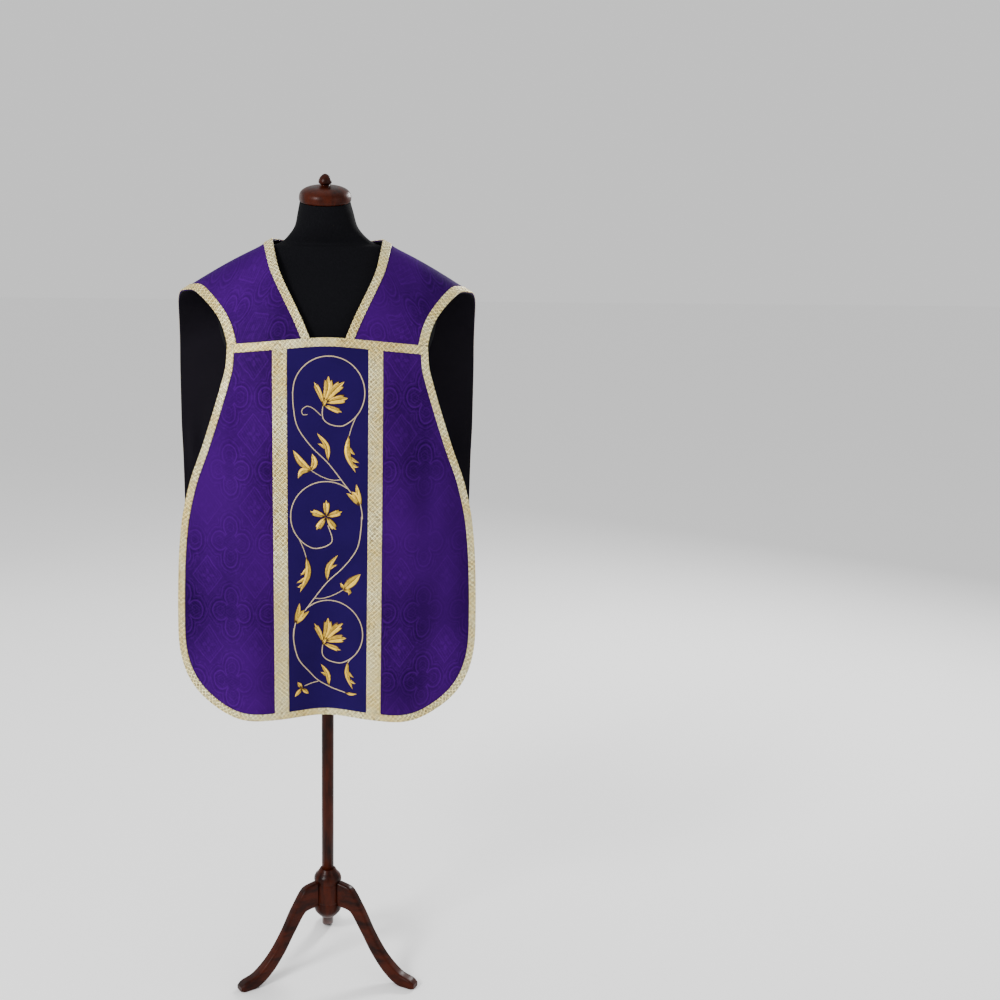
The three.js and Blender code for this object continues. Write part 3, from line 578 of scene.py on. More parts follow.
# %% Nets and walls
class Net:
    """Grids of points, welded where they meet. Each grid comes with its map, in millimetres."""

    def __init__(self, *grids):
        points, maps, cells, count = [], [], [], 0
        for places, spread in grids:
            rows, columns = places.shape[:2]
            ids = np.arange(rows * columns).reshape(rows, columns) + count
            corners = [ids[:-1, :-1], ids[1:, :-1], ids[1:, 1:], ids[:-1, 1:]]
            cells.append(np.stack(corners, -1).reshape(-1, 4))
            points.append(places.reshape(-1, 3))
            maps.append(spread.reshape(-1, 2))
            count += rows * columns
        points, maps, cells = map(np.concatenate, (points, maps, cells))
        keys = np.round(points, 3)
        _, kept, welded = np.unique(keys, axis=0, return_index=True, return_inverse=True)
        self.points, self.maps = points[kept], maps[kept]
        self.cells = welded.reshape(-1)[cells]

    def directions(self):
        """Each point's outward direction: the sum of its cells' own directions."""
        a, b, c, d = (self.points[self.cells[:, k]] for k in range(4))
        across = np.cross(c - a, d - b)
        sums = np.zeros_like(self.points)
        for k in range(4):
            np.add.at(sums, self.cells[:, k], across)
        return sums / np.linalg.norm(sums, axis=1, keepdims=True).clip(1e-9)

    def wall(self, low, high, outward):
        """Vertices, faces and their maps of a closed wall between two heights above the net.
        Outward is the way in which the first point should face."""
        up = self.directions()
        if (up * np.asarray(outward)).sum(1).mean() < 0:
            self.cells = self.cells[:, ::-1]
            up = -up
        count = len(self.points)
        outer = self.points + up * np.reshape(high, (-1, 1))
        inner = self.points + up * np.reshape(low, (-1, 1))
        froms, tos = self.cells.ravel(), np.roll(self.cells, -1, axis=1).ravel()
        rim = ~np.isin(froms * count + tos, tos * count + froms)
        start, end = froms[rim], tos[rim]
        sides = np.stack([start, start + count, end + count, end], -1)
        faces = np.concatenate([self.cells, self.cells[:, ::-1] + count, sides])
        return np.concatenate([outer, inner]), faces, np.concatenate([self.maps, self.maps])


def straight_map(places):
    """The cloth's own map where it hangs plumb: the width, and the height."""
    return places[..., [0, 2]]


ROOT_SHIFT = np.array([0, FORM_Y * 1000, 0])


def piece(name, walls, finishes, stands_for=(), inside=None):
    """One object from closed walls, in metres. The map goes on the faces' corners. Inside names the
    finish of the inner faces, where it differs."""
    starts = np.cumsum([0] + [len(wall[0]) for wall in walls[:-1]])
    points = np.concatenate([wall[0] for wall in walls]) + ROOT_SHIFT
    faces = np.concatenate([wall[1] + start for wall, start in zip(walls, starts)])
    maps = np.concatenate([wall[2] for wall in walls])
    ends = [end + start for wall, start in zip(walls, starts) for end in (wall[3] if len(wall) > 3 else [])]
    sizes = np.concatenate([np.full(len(faces), 4), [len(end) for end in ends]]).astype(int)
    corners = np.concatenate([faces.ravel(), *ends]).astype(int)
    mesh = bpy.data.meshes.new(name)
    mesh.vertices.add(len(points))
    mesh.vertices.foreach_set("co", (points / 1000).ravel())
    mesh.loops.add(len(corners))
    mesh.loops.foreach_set("vertex_index", corners)
    mesh.polygons.add(len(sizes))
    mesh.polygons.foreach_set("loop_start", np.cumsum(sizes) - sizes)
    layer = mesh.uv_layers.new(name="UVMap")
    layer.uv.foreach_set("vector", (maps[corners] / 1000).ravel())
    mesh.update(calc_edges=True)
    mesh.validate()
    mesh.shade_smooth()
    mesh.set_sharp_from_angle(angle=np.radians(50))
    mesh.materials.append(finishes.material)
    if inside is not None:
        mesh.materials.append(inside.material)
        mesh.polygons.foreach_set("material_index", inner_faces(walls))
    made = bpy.data.objects.new(name, mesh)
    bpy.context.scene.collection.objects.link(made)
    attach(made, "root")
    if stands_for:
        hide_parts(*stands_for)
    print(name, (sizes - 2).sum(), "triangles")
    return made


def inner_faces(walls):
    """1 for each face of the inner side, which is the wall's second run of cells."""
    marks = [(wall[1] >= len(wall[0]) // 2).all(1) for wall in walls]
    return np.concatenate(marks).astype(np.int32)


# %% [markdown]
# ## The front
#
# A row of points runs across the front at each height, from edge to edge. The lines of the embroidered
# column and of its braids are kept plumb, as they were sewn, and the lines beside them spread out with
# the widening cloth. Round the hem's corners the rows follow a superellipse, the curve of a
# tailor's template between a circle and a square.


# %% Rows and lines of the front
def spaced(*stops):
    """Places from one stop to the next. Each stop after the first is (place, number of steps)."""
    places = [np.array([stops[0]], float)]
    for stop, steps in stops[1:]:
        places.append(np.linspace(places[-1][-1], stop, steps + 1)[1:])
    return np.concatenate(places)


def corner_curve(corner, turns, inset=0):
    """Half widths and heights round a hem corner: cosine and sine raised to the power that makes
    the circle squarer."""
    top, side, straight, hem, power = corner
    bend = 2 / power
    half = straight + (side - straight - inset) * np.maximum(np.cos(turns), 0) ** bend
    return half, top - (top - hem - inset) * np.sin(turns) ** bend


CORNER_TURNS = np.radians(spaced(0, (90, 30)))[1:]


def mirrored(halves):
    return np.concatenate([-halves[..., :0:-1], halves], -1)


def front_inner(z):
    """The inner line of the edge braid, which is further in where the edge leans."""
    half = along(FRONT_EDGE, z)
    return half - EDGE_BRAID * np.hypot(1, along(FRONT_EDGE, z - 1) - half)


FLANK = spaced(0, (1, 26))
front_shares = spaced(0, (1, 110))
edge_z = blend(seam_height(SEAM_HALF), FRONT_CORNER[0], front_shares)
edge, inner = along(FRONT_EDGE, edge_z), front_inner(edge_z)
column_lines = spaced(0, (COLUMN, 13), (COLUMN + GALLOON_WIDE, 6))
flank_lines = blend(column_lines[-1], inner[:, None], FLANK[1:])
braid_lines = blend(inner[:, None], edge[:, None], spaced(0, (1, 3))[1:])
plumb = np.broadcast_to(column_lines, (len(front_shares), len(column_lines)))
x = mirrored(np.concatenate([plumb, flank_lines, braid_lines], 1))
z = blend(seam_height(x) - GAP, FRONT_CORNER[0], front_shares[:, None])

corner_half, corner_z = corner_curve(FRONT_CORNER, CORNER_TURNS)
x_low = x[-1] / x[-1, -1] * corner_half[:, None]
z_low = np.broadcast_to(corner_z[:, None], x_low.shape)
front_places = on_front(np.concatenate([x, x_low]), np.concatenate([z, z_low]))
front_net = Net((front_places, straight_map(front_places)))
OUT_FRONT, OUT_BACK = (0, -1, 0), (0, 1, 0)
front_wall = front_net.wall(-DAMASK, 0, OUT_FRONT)
front_panel = piece("front_panel", [front_wall], damask, ["front"], inside=lining)

# %% [markdown]
# ## The back and its straps
#
# The back is one cloth from the hem, up over the shoulders and down to the chest seam. Its side grids
# run on over the shoulder line without a seam, and its middle grid ends at the neck opening. The map
# is the length along the cloth, so the damask runs over the shoulder without stretching.

# %% Lines of the back
# The neck braid's inner line, the arm braid's at the yoke's foot and on the shoulder, and the edge.
NECK_LINE, ARM_LINE, TIP_LINE, SIDE_LINE = 126, 284, 272, 299
back_lines = spaced(0, (COLUMN, 13), (COLUMN + GALLOON_WIDE, 5), (NECK_HALF, 1), (NECK_LINE, 5))
back_lines = np.concatenate([back_lines, spaced(NECK_LINE, (ARM_LINE, 32), (SIDE_LINE, 5))[1:]])
ridge_stops = [0, NECK_LINE, TIP_LINE, TIP_HALF]
ridge_lines = np.interp(back_lines, [0, NECK_LINE, ARM_LINE, SIDE_LINE], ridge_stops)
FIRST_SIDE = int(np.argmin(np.abs(back_lines - NECK_HALF)))


def neck_edge(x):
    """The back's neck edge: a shallow curve between its two corners."""
    return shoulder_height(NECK_HALF) - NECK_DIP * (1 - (x / NECK_HALF) ** 2)


def yoke(shares):
    """Places of the back's lines between the shoulder line, share 0, and the yoke's foot, share 1."""
    shares = shares[:, None]
    top = np.where(ridge_lines <= NECK_HALF, neck_edge(ridge_lines), shoulder_height(ridge_lines))
    x = blend(ridge_lines, back_lines, shares)
    z = blend(top, YOKE_FOOT, shares)
    tip = along(BACK_EDGE, blend(shoulder_height(TIP_HALF), YOKE_FOOT, shares))
    inner = blend(TIP_LINE, ARM_LINE, shares)
    outside = inner + (tip - inner) * (back_lines - ARM_LINE) / (SIDE_LINE - ARM_LINE)
    return np.where(back_lines > ARM_LINE, outside, x), z


def strap(shares):
    """Places of the side lines on a strap, from the shoulder line down to the chest seam."""
    neck, arm = along(STRAP_NECK, shares), along(STRAP_ARM, shares)
    borders = np.stack([neck, neck + NECK_BRAID, arm - STRAP_BRAID, arm], 1)
    place = np.interp(ridge_lines[FIRST_SIDE:], [NECK_HALF, *ridge_stops[1:]], [0, 1, 2, 3])
    weights = np.clip(1 - np.abs(place - np.arange(4)[:, None]), 0, 1)
    x = borders @ weights
    return x, blend(shoulder_height(x), seam_height(x), shares[:, None])


def lengths(places):
    """The length along each line of a grid, from its first row."""
    steps = np.linalg.norm(np.diff(places, axis=0), axis=-1)
    return np.concatenate([np.zeros((1, places.shape[1])), np.cumsum(steps, 0)])


# %% Join the back's grids
# Rows stand closer together near the shoulder line. Behind, that is as far as the neck braid's lower
# line, and on the straps a tenth of their length.
NECK_SHARE, STRAP_CLOSE = 0.13, 0.1
close_yoke = spaced(0, (NECK_SHARE, 8)) ** 1.35 / NECK_SHARE**0.35
close_strap = spaced(0, (STRAP_CLOSE, 10)) ** 1.5 / STRAP_CLOSE**0.5
YOKE_SHARES = np.concatenate([close_yoke, spaced(NECK_SHARE, (1, 26))[1:]])
STRAP_SHARES = np.concatenate([close_strap, spaced(STRAP_CLOSE, (1, 40))[1:]])
yoke_x, yoke_z = yoke(YOKE_SHARES[::-1])
strap_x, strap_z = strap(STRAP_SHARES)

arm_stops = [(ARM_TOP, 5), (ARM_BOTTOM, 26), (ARM_BOTTOM - GALLOON_WIDE, 5)]
low_z = spaced(YOKE_FOOT, *arm_stops, (BACK_CORNER[0], 76))[::-1]
low_half = along(BACK_EDGE, low_z)
corner_half, corner_z = corner_curve(BACK_CORNER, CORNER_TURNS[::-1])
low_half, low_z = np.concatenate([corner_half, low_half]), np.concatenate([corner_z, low_z])
low_x = back_lines / SIDE_LINE * low_half[:, None]
low_rows = len(low_z) - 1

# On a strap, the length of cloth for each millimetre of height.
STRAP_STRETCH = 1.12


def side_grid(side):
    """From the hem up the back, over the shoulder line and down the strap, on one side."""
    lines = slice(FIRST_SIDE, None)
    z = np.concatenate([np.broadcast_to(low_z[:-1, None], low_x[:-1, lines].shape), yoke_z[:, lines]])
    x = np.concatenate([low_x[:-1, lines], yoke_x[:, lines]])
    places = np.concatenate([on_back(side * x, z), on_front(side * strap_x, strap_z)[1:]])
    ridge_row = low_rows + len(YOKE_SHARES) - 1
    up = YOKE_FOOT + lengths(places[low_rows : ridge_row + 1])
    at_ridge = np.interp(strap_x, ridge_lines[lines], up[-1])
    down = at_ridge + (shoulder_height(strap_x) - strap_z) * STRAP_STRETCH
    height = np.concatenate([places[:low_rows, :, 2], up, down[1:]])
    return places, np.stack([places[..., 0], height], -1)


def middle_grid():
    """From the hem up to the neck edge, between the two side grids."""
    x = mirrored(np.concatenate([low_x[:-1], yoke_x])[:, : FIRST_SIDE + 1])
    rise = np.broadcast_to(low_z[:-1, None], low_x[:-1].shape)
    z = np.concatenate([rise, yoke_z])[:, : FIRST_SIDE + 1]
    z = np.concatenate([z[:, :0:-1], z], 1)
    places = on_back(x, z)
    height = np.concatenate([places[:low_rows, :, 2], YOKE_FOOT + lengths(places[low_rows:])])
    return places, np.stack([places[..., 0], height], -1)


left_grid, right_grid, neck_grid = side_grid(1), side_grid(-1), middle_grid()


def flipped(grid):
    """The same grid with its lines in the other order, so that its cells face the same way."""
    places, spread = grid
    return places[:, ::-1], spread[:, ::-1]


back_net = Net(flipped(right_grid), neck_grid, left_grid)
back_panel = piece("back_panel", [back_net.wall(-DAMASK, 0, OUT_BACK)], damask, ["back"])
lining_wall = back_net.wall(-DAMASK - GAP - LINING, -DAMASK - GAP, OUT_BACK)
back_inside = piece("back_inside", [lining_wall], lining, ["back_lining"])

# %% [markdown]
# ## Ribbons and bands
#
# Ribbons are sewn on top of the cloth, so each is worked out on the same surface and raised a little
# above it. A ribbon is the strip between an outer and an inner line. Its cross section is flat with
# a firm ridge near each selvedge, where the weaver doubles the threads.


# %% A strip raised from the cloth
def on_cloth(side, x, z):
    """Places and outward directions on the front, side -1, or the back, side 1. A direction is the
    cross product of two short steps on the surface, across and up."""
    surface = on_front if side < 0 else on_back
    x, z = np.broadcast_arrays(np.asarray(x, float), np.asarray(z, float))
    across = surface(x + 0.5, z) - surface(x - 0.5, z)
    up = surface(x, z + 0.5) - surface(x, z - 0.5)
    out = np.cross(across, up) * -side
    return surface(x, z), out / np.linalg.norm(out, axis=-1, keepdims=True)


def shell(places, normals, low, high, spread):
    """A closed wall on a grid of places, between two heights above it."""
    rows, columns = places.shape[:2]
    ids = np.arange(rows * columns).reshape(rows, columns)
    cells = np.stack([ids[:-1, :-1], ids[1:, :-1], ids[1:, 1:], ids[:-1, 1:]], -1).reshape(-1, 4)
    rim = np.concatenate([ids[:-1, 0], ids[-1, :-1], ids[:0:-1, -1], ids[0, :0:-1]])
    flat = places.reshape(-1, 3)
    faced = np.cross(flat[cells[:, 2]] - flat[cells[:, 0]], flat[cells[:, 3]] - flat[cells[:, 1]])
    if (faced * normals.reshape(-1, 3)[cells[:, 0]]).sum() < 0:
        cells, rim = cells[:, ::-1], rim[::-1]
    count = rows * columns
    after = np.roll(rim, -1)
    sides = np.stack([rim, rim + count, after + count, after], -1)
    heights = [np.broadcast_to(height, (rows, columns))[..., None] for height in (high, low)]
    raised = [places + normals * height for height in heights]
    points = np.concatenate([part.reshape(-1, 3) for part in raised])
    faces = np.concatenate([cells, cells[:, ::-1] + count, sides])
    return points, faces, np.tile(spread.reshape(-1, 2), (2, 1))


ACROSS = np.array([0, 0.035, 0.08, 0.15, 0.32, 0.5, 0.68, 0.85, 0.92, 0.965, 1])


def selvedge_height(across):
    """The height of a woven ribbon's upper face: a ridge near each edge, then a soft drop."""
    edge = np.minimum(across, 1 - across)
    ridge, drop = np.exp(-(((edge - 0.08) / 0.045) ** 2)), np.exp(-((edge / 0.02) ** 2))
    return GAP + BRAID + 0.35 * ridge - 0.6 * drop


def ribbon_on(places, normals, width):
    """A ribbon on a grid whose rows run along it and whose columns are at the shares in ACROSS."""
    length = lengths(places)[:, len(ACROSS) // 2]
    spread = np.stack(np.broadcast_arrays(length[:, None], (ACROSS - 0.5) * width), -1)
    return shell(places, normals, GAP, selvedge_height(ACROSS), spread)


def ribbon(side, outer, inner, width):
    """A ribbon between an outer and an inner line, each a list of points across and up."""
    outer, inner = np.asarray(outer)[:, None], np.asarray(inner)[:, None]
    flat = blend(inner, outer, ACROSS[:, None])
    return ribbon_on(*on_cloth(side, flat[..., 0], flat[..., 1]), width)


def both_sides(half):
    """A line from its left half, which starts at the side and ends in the middle."""
    mirror = half[::-1] * [-1, 1]
    return np.concatenate([half, mirror[1:]])


# %% The front's braids and column
def hem_line(corner, inset):
    """Round the corner from the side, then along the hem to the middle."""
    half, z = corner_curve(corner, np.radians(spaced(0, (90, 36))), inset)
    flat = spaced(half[-1], (0, 24))[1:]
    return np.concatenate([np.stack([half, z], 1), np.stack([flat, np.full(len(flat), z[-1])], 1)])


side_shares = spaced(0, (1, 90))
side_z = blend(seam_height(SEAM_HALF) - GAP, FRONT_CORNER[0], side_shares)
outer_side = np.stack([along(FRONT_EDGE, side_z), side_z], 1)
inner_side = np.stack([front_inner(side_z), side_z], 1)
outer = both_sides(np.concatenate([outer_side[:-1], hem_line(FRONT_CORNER, 0)]))
inner = both_sides(np.concatenate([inner_side[:-1], hem_line(FRONT_CORNER, EDGE_BRAID)]))
edge_wall = ribbon(-1, outer, inner, EDGE_BRAID)
front_braid = piece("front_braid", [edge_wall], galloon, ["front_edging"])

shares = np.linspace(-1, 1, 90)
top_x = shares * front_inner(seam_height(SEAM_HALF))
low_x_band = shares * front_inner(seam_height(SEAM_HALF) - CHEST_BAND)
band = ribbon(
    -1,
    np.stack([top_x, seam_height(top_x) - GAP], 1),
    np.stack([low_x_band, seam_height(low_x_band) - CHEST_BAND], 1),
    CHEST_BAND,
)
chest_braid = piece("chest_braid", [band], galloon, ["chest_band"])

FRONT_COLUMN_FOOT = FRONT_HEM + EDGE_BRAID
column_x = spaced(-COLUMN, (COLUMN, 36))
column_top = seam_height(column_x) - CHEST_BAND
column_z = blend(column_top, FRONT_COLUMN_FOOT, spaced(0, (1, 130))[:, None])
places, normals = on_cloth(-1, column_x, column_z)
column_wall = shell(places, normals, GAP, GAP + ORPHREY, straight_map(places))
front_ground = piece("front_ground", [column_wall], ground, ["front_column"])

for name, sign in (("right", -1), ("left", 1)):
    rows = spaced(0, (1, 110))
    lines = []
    for x in (COLUMN + GALLOON_WIDE, COLUMN):
        height = blend(seam_height(x) - CHEST_BAND, FRONT_COLUMN_FOOT, rows)
        lines.append(np.stack([np.full(len(rows), sign * x), height], 1))
    wall = ribbon(-1, *lines, GALLOON_WIDE)
    piece(f"front_gold_{name}", [wall], galloon, [f"front_galloon_{name}"])

# %% [markdown]
# ## The cross on the back
#
# The cross is framed by one galloon that turns eight corners on each side of it. At a corner the
# ribbon is folded to a mitre, a seam at 45 degrees, and both arms of the weave meet there. Each
# straight stretch is its own strip, pressed down a little along the mitre.


# %% Ground and galloons of the cross
def yoke_height(x, share):
    """Heights between the neck edge, share 0, and the yoke's foot, share 1."""
    return blend(neck_edge(x), YOKE_FOOT, share)


BACK_COLUMN_FOOT = BACK_HEM + EDGE_BRAID
arm_x = spaced(COLUMN, (ARM_REACH, 36))
low_rows_z = spaced(BACK_COLUMN_FOOT, (ARM_BOTTOM, 120))[:, None]
arm_rows_z = spaced(ARM_BOTTOM, (ARM_TOP, 28))[:, None]
top_rows_z = blend(ARM_TOP, yoke_height(column_x, NECK_SHARE), spaced(0, (1, 24))[:, None])
grids = [(column_x, low_rows_z), (column_x, arm_rows_z), (column_x, top_rows_z)]
grids += [(arm_x, arm_rows_z), (-arm_x[::-1], arm_rows_z)]
cross_places = [on_cloth(1, x, z)[0] for x, z in grids]
cross_net = Net(*[(places, straight_map(places)) for places in cross_places])
cross_wall = cross_net.wall(GAP, GAP + ORPHREY, OUT_BACK)
back_ground = piece("back_ground", [cross_wall], ground, ["back_cross"])

# How far a mitre is pressed down and how far that reaches. The ends of two stretches are parted by
# a hair, so that each stays a closed wall of its own.
MITRE_PRESS, MITRE_REACH, MITRE_ROWS = 0.5, 1.2, (0.03, 0.7, 1.6, 3.2)


def mitred(start, end):
    """A straight stretch of galloon between two mitres. Start and end each give the ribbon's outer and
    inner corner. Its rows stand close together near a mitre, where the ribbon is pressed down."""
    (outer_0, inner_0), (outer_1, inner_1) = np.array([start, end], float)
    length = np.abs(outer_1 - outer_0).max()
    near = np.array(MITRE_ROWS) / length
    plain = np.linspace(near[-1], 1 - near[-1], int(length / 6) + 2)[1:-1]
    t = np.concatenate([near, plain, 1 - near[::-1]])
    inner, outer = blend(inner_0, inner_1, t[:, None]), blend(outer_0, outer_1, t[:, None])
    flat = blend(inner[:, None], outer[:, None], ACROSS[:, None])
    places, normals = on_cloth(1, flat[..., 0], flat[..., 1])
    run = 0 if abs(outer_1[0] - outer_0[0]) > abs(outer_1[1] - outer_0[1]) else 1
    spread = np.stack(np.broadcast_arrays(flat[..., run], (ACROSS - 0.5) * GALLOON_WIDE), -1)
    from_end = np.minimum(t, 1 - t)[:, None] * length
    high = selvedge_height(ACROSS) - MITRE_PRESS * np.exp(-((from_end / MITRE_REACH) ** 2))
    return shell(places, normals, GAP, high, spread)


outer_x, outer_reach = COLUMN + GALLOON_WIDE, ARM_REACH + GALLOON_WIDE
outer_top, outer_foot = ARM_TOP + GALLOON_WIDE, ARM_BOTTOM - GALLOON_WIDE
# The galloon's outer and inner corner at each mitre, from the neck down to the hem.
CROSS_CORNERS = [
    ((outer_x, yoke_height(outer_x, NECK_SHARE)), (COLUMN, yoke_height(COLUMN, NECK_SHARE))),
    ((outer_x, outer_top), (COLUMN, ARM_TOP)),
    ((outer_reach, outer_top), (ARM_REACH, ARM_TOP)),
    ((outer_reach, outer_foot), (ARM_REACH, ARM_BOTTOM)),
    ((outer_x, outer_foot), (COLUMN, ARM_BOTTOM)),
    ((outer_x, BACK_COLUMN_FOOT), (COLUMN, BACK_COLUMN_FOOT)),
]
for name, sign in (("right", -1), ("left", 1)):
    corners = np.array(CROSS_CORNERS, float) * (sign, 1)
    walls = [mitred(start, end) for start, end in zip(corners, corners[1:])]
    piece(f"cross_gold_{name}", walls, galloon, [f"cross_galloon_{name}"])

# %% [markdown]
# The braid round the arms and the neck runs over the shoulder line. There the front's and the back's
# formulas meet, so its strips are taken from the grid of the cloth itself, between two of its lines,
# and its directions come from that grid.


# %% Braids over the shoulder
def grid_directions(places):
    """Outward directions of a grid, from the differences between its neighbouring points. Below the
    yoke the cloth faces backwards, which settles the sign."""
    out = np.cross(np.gradient(places, axis=0), np.gradient(places, axis=1))
    out /= np.linalg.norm(out, axis=-1, keepdims=True)
    return out * np.sign(out[:low_rows, :, 1].mean())


def between_lines(grid, rows, first, last):
    """A ribbon's places and directions between two lines of a grid, from the inner to the outer. Either
    line may be a number for each row."""
    places, normals = grid[0][rows], grid_directions(grid[0])[rows]
    first, last = (np.broadcast_to(line, len(places))[:, None] for line in (first, last))
    at = blend(first, last, ACROSS)
    low = np.clip(np.floor(at).astype(int), 0, places.shape[1] - 2)
    share = (at - low)[..., None]
    row = np.arange(len(places))[:, None]
    picked = [blend(part[row, low], part[row, low + 1], share) for part in (places, normals)]
    picked[1] /= np.linalg.norm(picked[1], axis=-1, keepdims=True)
    return picked


line_count = len(back_lines) - FIRST_SIDE
neck_last = int(np.argmin(np.abs(back_lines[FIRST_SIDE:] - NECK_LINE)))
edge_first = int(np.argmin(np.abs(back_lines[FIRST_SIDE:] - ARM_LINE)))
corner_row = len(CORNER_TURNS)
yoke_row = low_rows + int(np.argmin(np.abs(YOKE_SHARES[::-1] - NECK_SHARE)))
# The neck braid's side strips start at a narrow point, where they meet the strip behind the neck.
MITRE_POINT = 0.03
for name, grid in (("right", right_grid), ("left", left_grid)):
    count = len(grid[0]) - yoke_row
    ridge = low_rows + len(YOKE_SHARES) - 1 - yoke_row
    mitre = np.interp(np.arange(count), [0, ridge], [MITRE_POINT, 1]) * neck_last
    places, normals = between_lines(grid, slice(yoke_row, None), mitre, 0)
    wall = ribbon_on(places, normals, NECK_BRAID)
    piece(f"neck_braid_{name}", [wall], galloon, [f"neck_edging_{name}"])

neck_x = spaced(-NECK_HALF, (NECK_HALF, 60))
outer, inner = (np.stack([neck_x, yoke_height(neck_x, share)], 1) for share in (0, NECK_SHARE))
neck_wall = ribbon(1, outer, inner, NECK_BRAID)
piece("neck_braid_back", [neck_wall], galloon, ["neck_edging_back"])

arm_walls = []
for grid in (right_grid, left_grid):
    places, normals = between_lines(grid, slice(corner_row, None), edge_first, line_count - 1)
    arm_walls.append(ribbon_on(places, normals, EDGE_BRAID))
hem_lines = [both_sides(hem_line(BACK_CORNER, inset)) for inset in (0, EDGE_BRAID)]
hem = ribbon(1, *hem_lines, EDGE_BRAID)
back_braid = piece("back_braid", [*arm_walls, hem], galloon, ["back_edging"])

# %% [markdown]
# ## Needlework
#
# Every petal, leaf and stem is one strip of satin stitch over a padding of felt or cord. Its centre
# line is a smooth curve through a few points, its half width follows a profile, and its upper face
# is domed. The edge of a petal sweeps forward before the width drops, which leaves the three
# points that the embroiderer cuts into a petal's end.


# %% Curves and stitched strips
def curved(points, steps=8):
    """A Catmull-Rom curve: it passes through all the points, and its direction at each is parallel
    to the line between that point's neighbours."""
    p = np.array(points, float)
    p = np.concatenate([2 * p[:1] - p[1:2], p, 2 * p[-1:] - p[-2:-1]])
    t = np.linspace(0, 1, steps, endpoint=False)[:, None, None]
    a, b, c, d = p[:-3], p[1:-2], p[2:-1], p[3:]
    runs = (2 * b + (c - a) * t + (2 * a - 5 * b + 4 * c - d) * t**2 + (3 * b - a - 3 * c + d) * t**3) / 2
    return np.concatenate([runs.transpose(1, 0, 2).reshape(-1, 2), p[-2:-1]])


def evenly(line, shares):
    """Points of a line at shares of its length."""
    steps = np.linalg.norm(np.diff(line, axis=0), axis=1)
    length = np.concatenate([[0], np.cumsum(steps)])
    at = np.asarray(shares) * length[-1]
    return np.stack([np.interp(at, length, line[:, k]) for k in range(2)], 1), length[-1]


# A strip starts a little inside the ground and is at least that thick above it.
SUNK = 0.15
STITCH_BASE = GAP + ORPHREY - SUNK
PETAL_ACROSS = np.array([-1, -0.9, -0.66, -0.36, -0.14, 0, 0.14, 0.36, 0.66, 0.9, 1])
STEM_ACROSS = np.linspace(-1, 1, 5)
# The groove along a petal's middle: its depth and half width as shares of the petal's.
GROOVE_DEEP, GROOVE_HALF = 0.3, 0.14


class Needlework:
    """A design's strips on one side of the cloth. Where is a function from design to cloth."""

    def __init__(self, side, where):
        self.side, self.where = side, where
        self.stems, self.petals = [], []

    def strip(self, line, shares, half, height, sweep, walls):
        """A domed strip along a line. Half widths, heights and the forward sweep of the edge, a share
        of the length, are given at shares of that length. Its wall joins the petals or the stems."""
        centre, length = evenly(line, shares)
        ahead = np.gradient(centre, axis=0)
        ahead /= np.linalg.norm(ahead, axis=1, keepdims=True).clip(1e-9)
        aside = np.stack([-ahead[:, 1], ahead[:, 0]], 1)
        v = PETAL_ACROSS if walls is self.petals else STEM_ACROSS
        forward = (np.asarray(sweep) * length)[:, None] * np.abs(v) ** 1.5
        flat = centre[:, None] + aside[:, None] * (np.asarray(half)[:, None] * v)[..., None]
        flat = flat + ahead[:, None] * forward[..., None]
        places, normals = on_cloth(self.side, *self.where(flat[..., 0], flat[..., 1]))
        dome = np.sqrt(1 - 0.94 * v**2)
        if walls is self.petals:
            dome = dome - GROOVE_DEEP * np.exp(-((v / GROOVE_HALF) ** 2))
        high = STITCH_BASE + SUNK + np.asarray(height)[:, None] * dome
        spread = np.stack(np.broadcast_arrays((np.asarray(shares) * length)[:, None], v), -1)
        walls.append(shell(places, normals, STITCH_BASE, high, spread))

    def cord(self, points, half, height, walls):
        """A strip of even width."""
        line = curved(points)
        shares = np.linspace(0, 1, max(len(line), 6))
        even = np.ones(len(shares))
        self.strip(line, shares, half * even, height * even, 0 * even, walls)

    def stem(self, points, half=1.1, height=1.1):
        """A couched cord."""
        self.cord(points, half, height, self.stems)

    def gold_line(self, points, half, height):
        """A line in satin stitch."""
        self.cord(points, half, height, self.petals)

    def petal(self, points, half, height=3.2):
        """A petal with three points at its end."""
        shares = [0, 0.07, 0.17, 0.3, 0.44, 0.56, 0.66, 0.72, 0.735, 0.8, 0.87, 0.94, 1]
        widths = [0.14, 0.34, 0.58, 0.8, 0.94, 1, 0.95, 0.78, 0.46, 0.42, 0.3, 0.16, 0.02]
        sweep = np.interp(shares, [0, 0.3, 0.66, 0.72, 0.735, 1], [0, 0.02, 0.12, 0.16, 0.05, 0])
        heights = np.interp(shares, [0, 0.2, 0.6, 1], [0.35, 0.9, 1, 0.25]) * height
        self.strip(curved(points), shares, np.multiply(widths, half), heights, sweep, self.petals)

    def blade(self, points, half, height=2.4, foot=0.12, widest=0.45):
        """A plain pointed leaf or lobe."""
        shares = np.array([0, 0.06, 0.14, 0.25, 0.38, 0.52, 0.66, 0.78, 0.88, 0.95, 1])
        stops = [0, widest * 4 / 9, widest, 0.75, 1]
        widths = np.interp(shares, stops, [foot, 0.75, 1, 0.62, 0.02])
        heights = np.interp(shares, [0, 0.2, 0.6, 1], [0.4, 0.9, 1, 0.2]) * height
        sweep = 0.04 * np.sin(np.pi * shares)
        self.strip(curved(points), shares, widths * half, heights, sweep, self.petals)


# %% Flowers and leaves
def heading(degrees):
    """The direction at an angle, anticlockwise from the right."""
    return np.array([np.cos(np.radians(degrees)), np.sin(np.radians(degrees))])


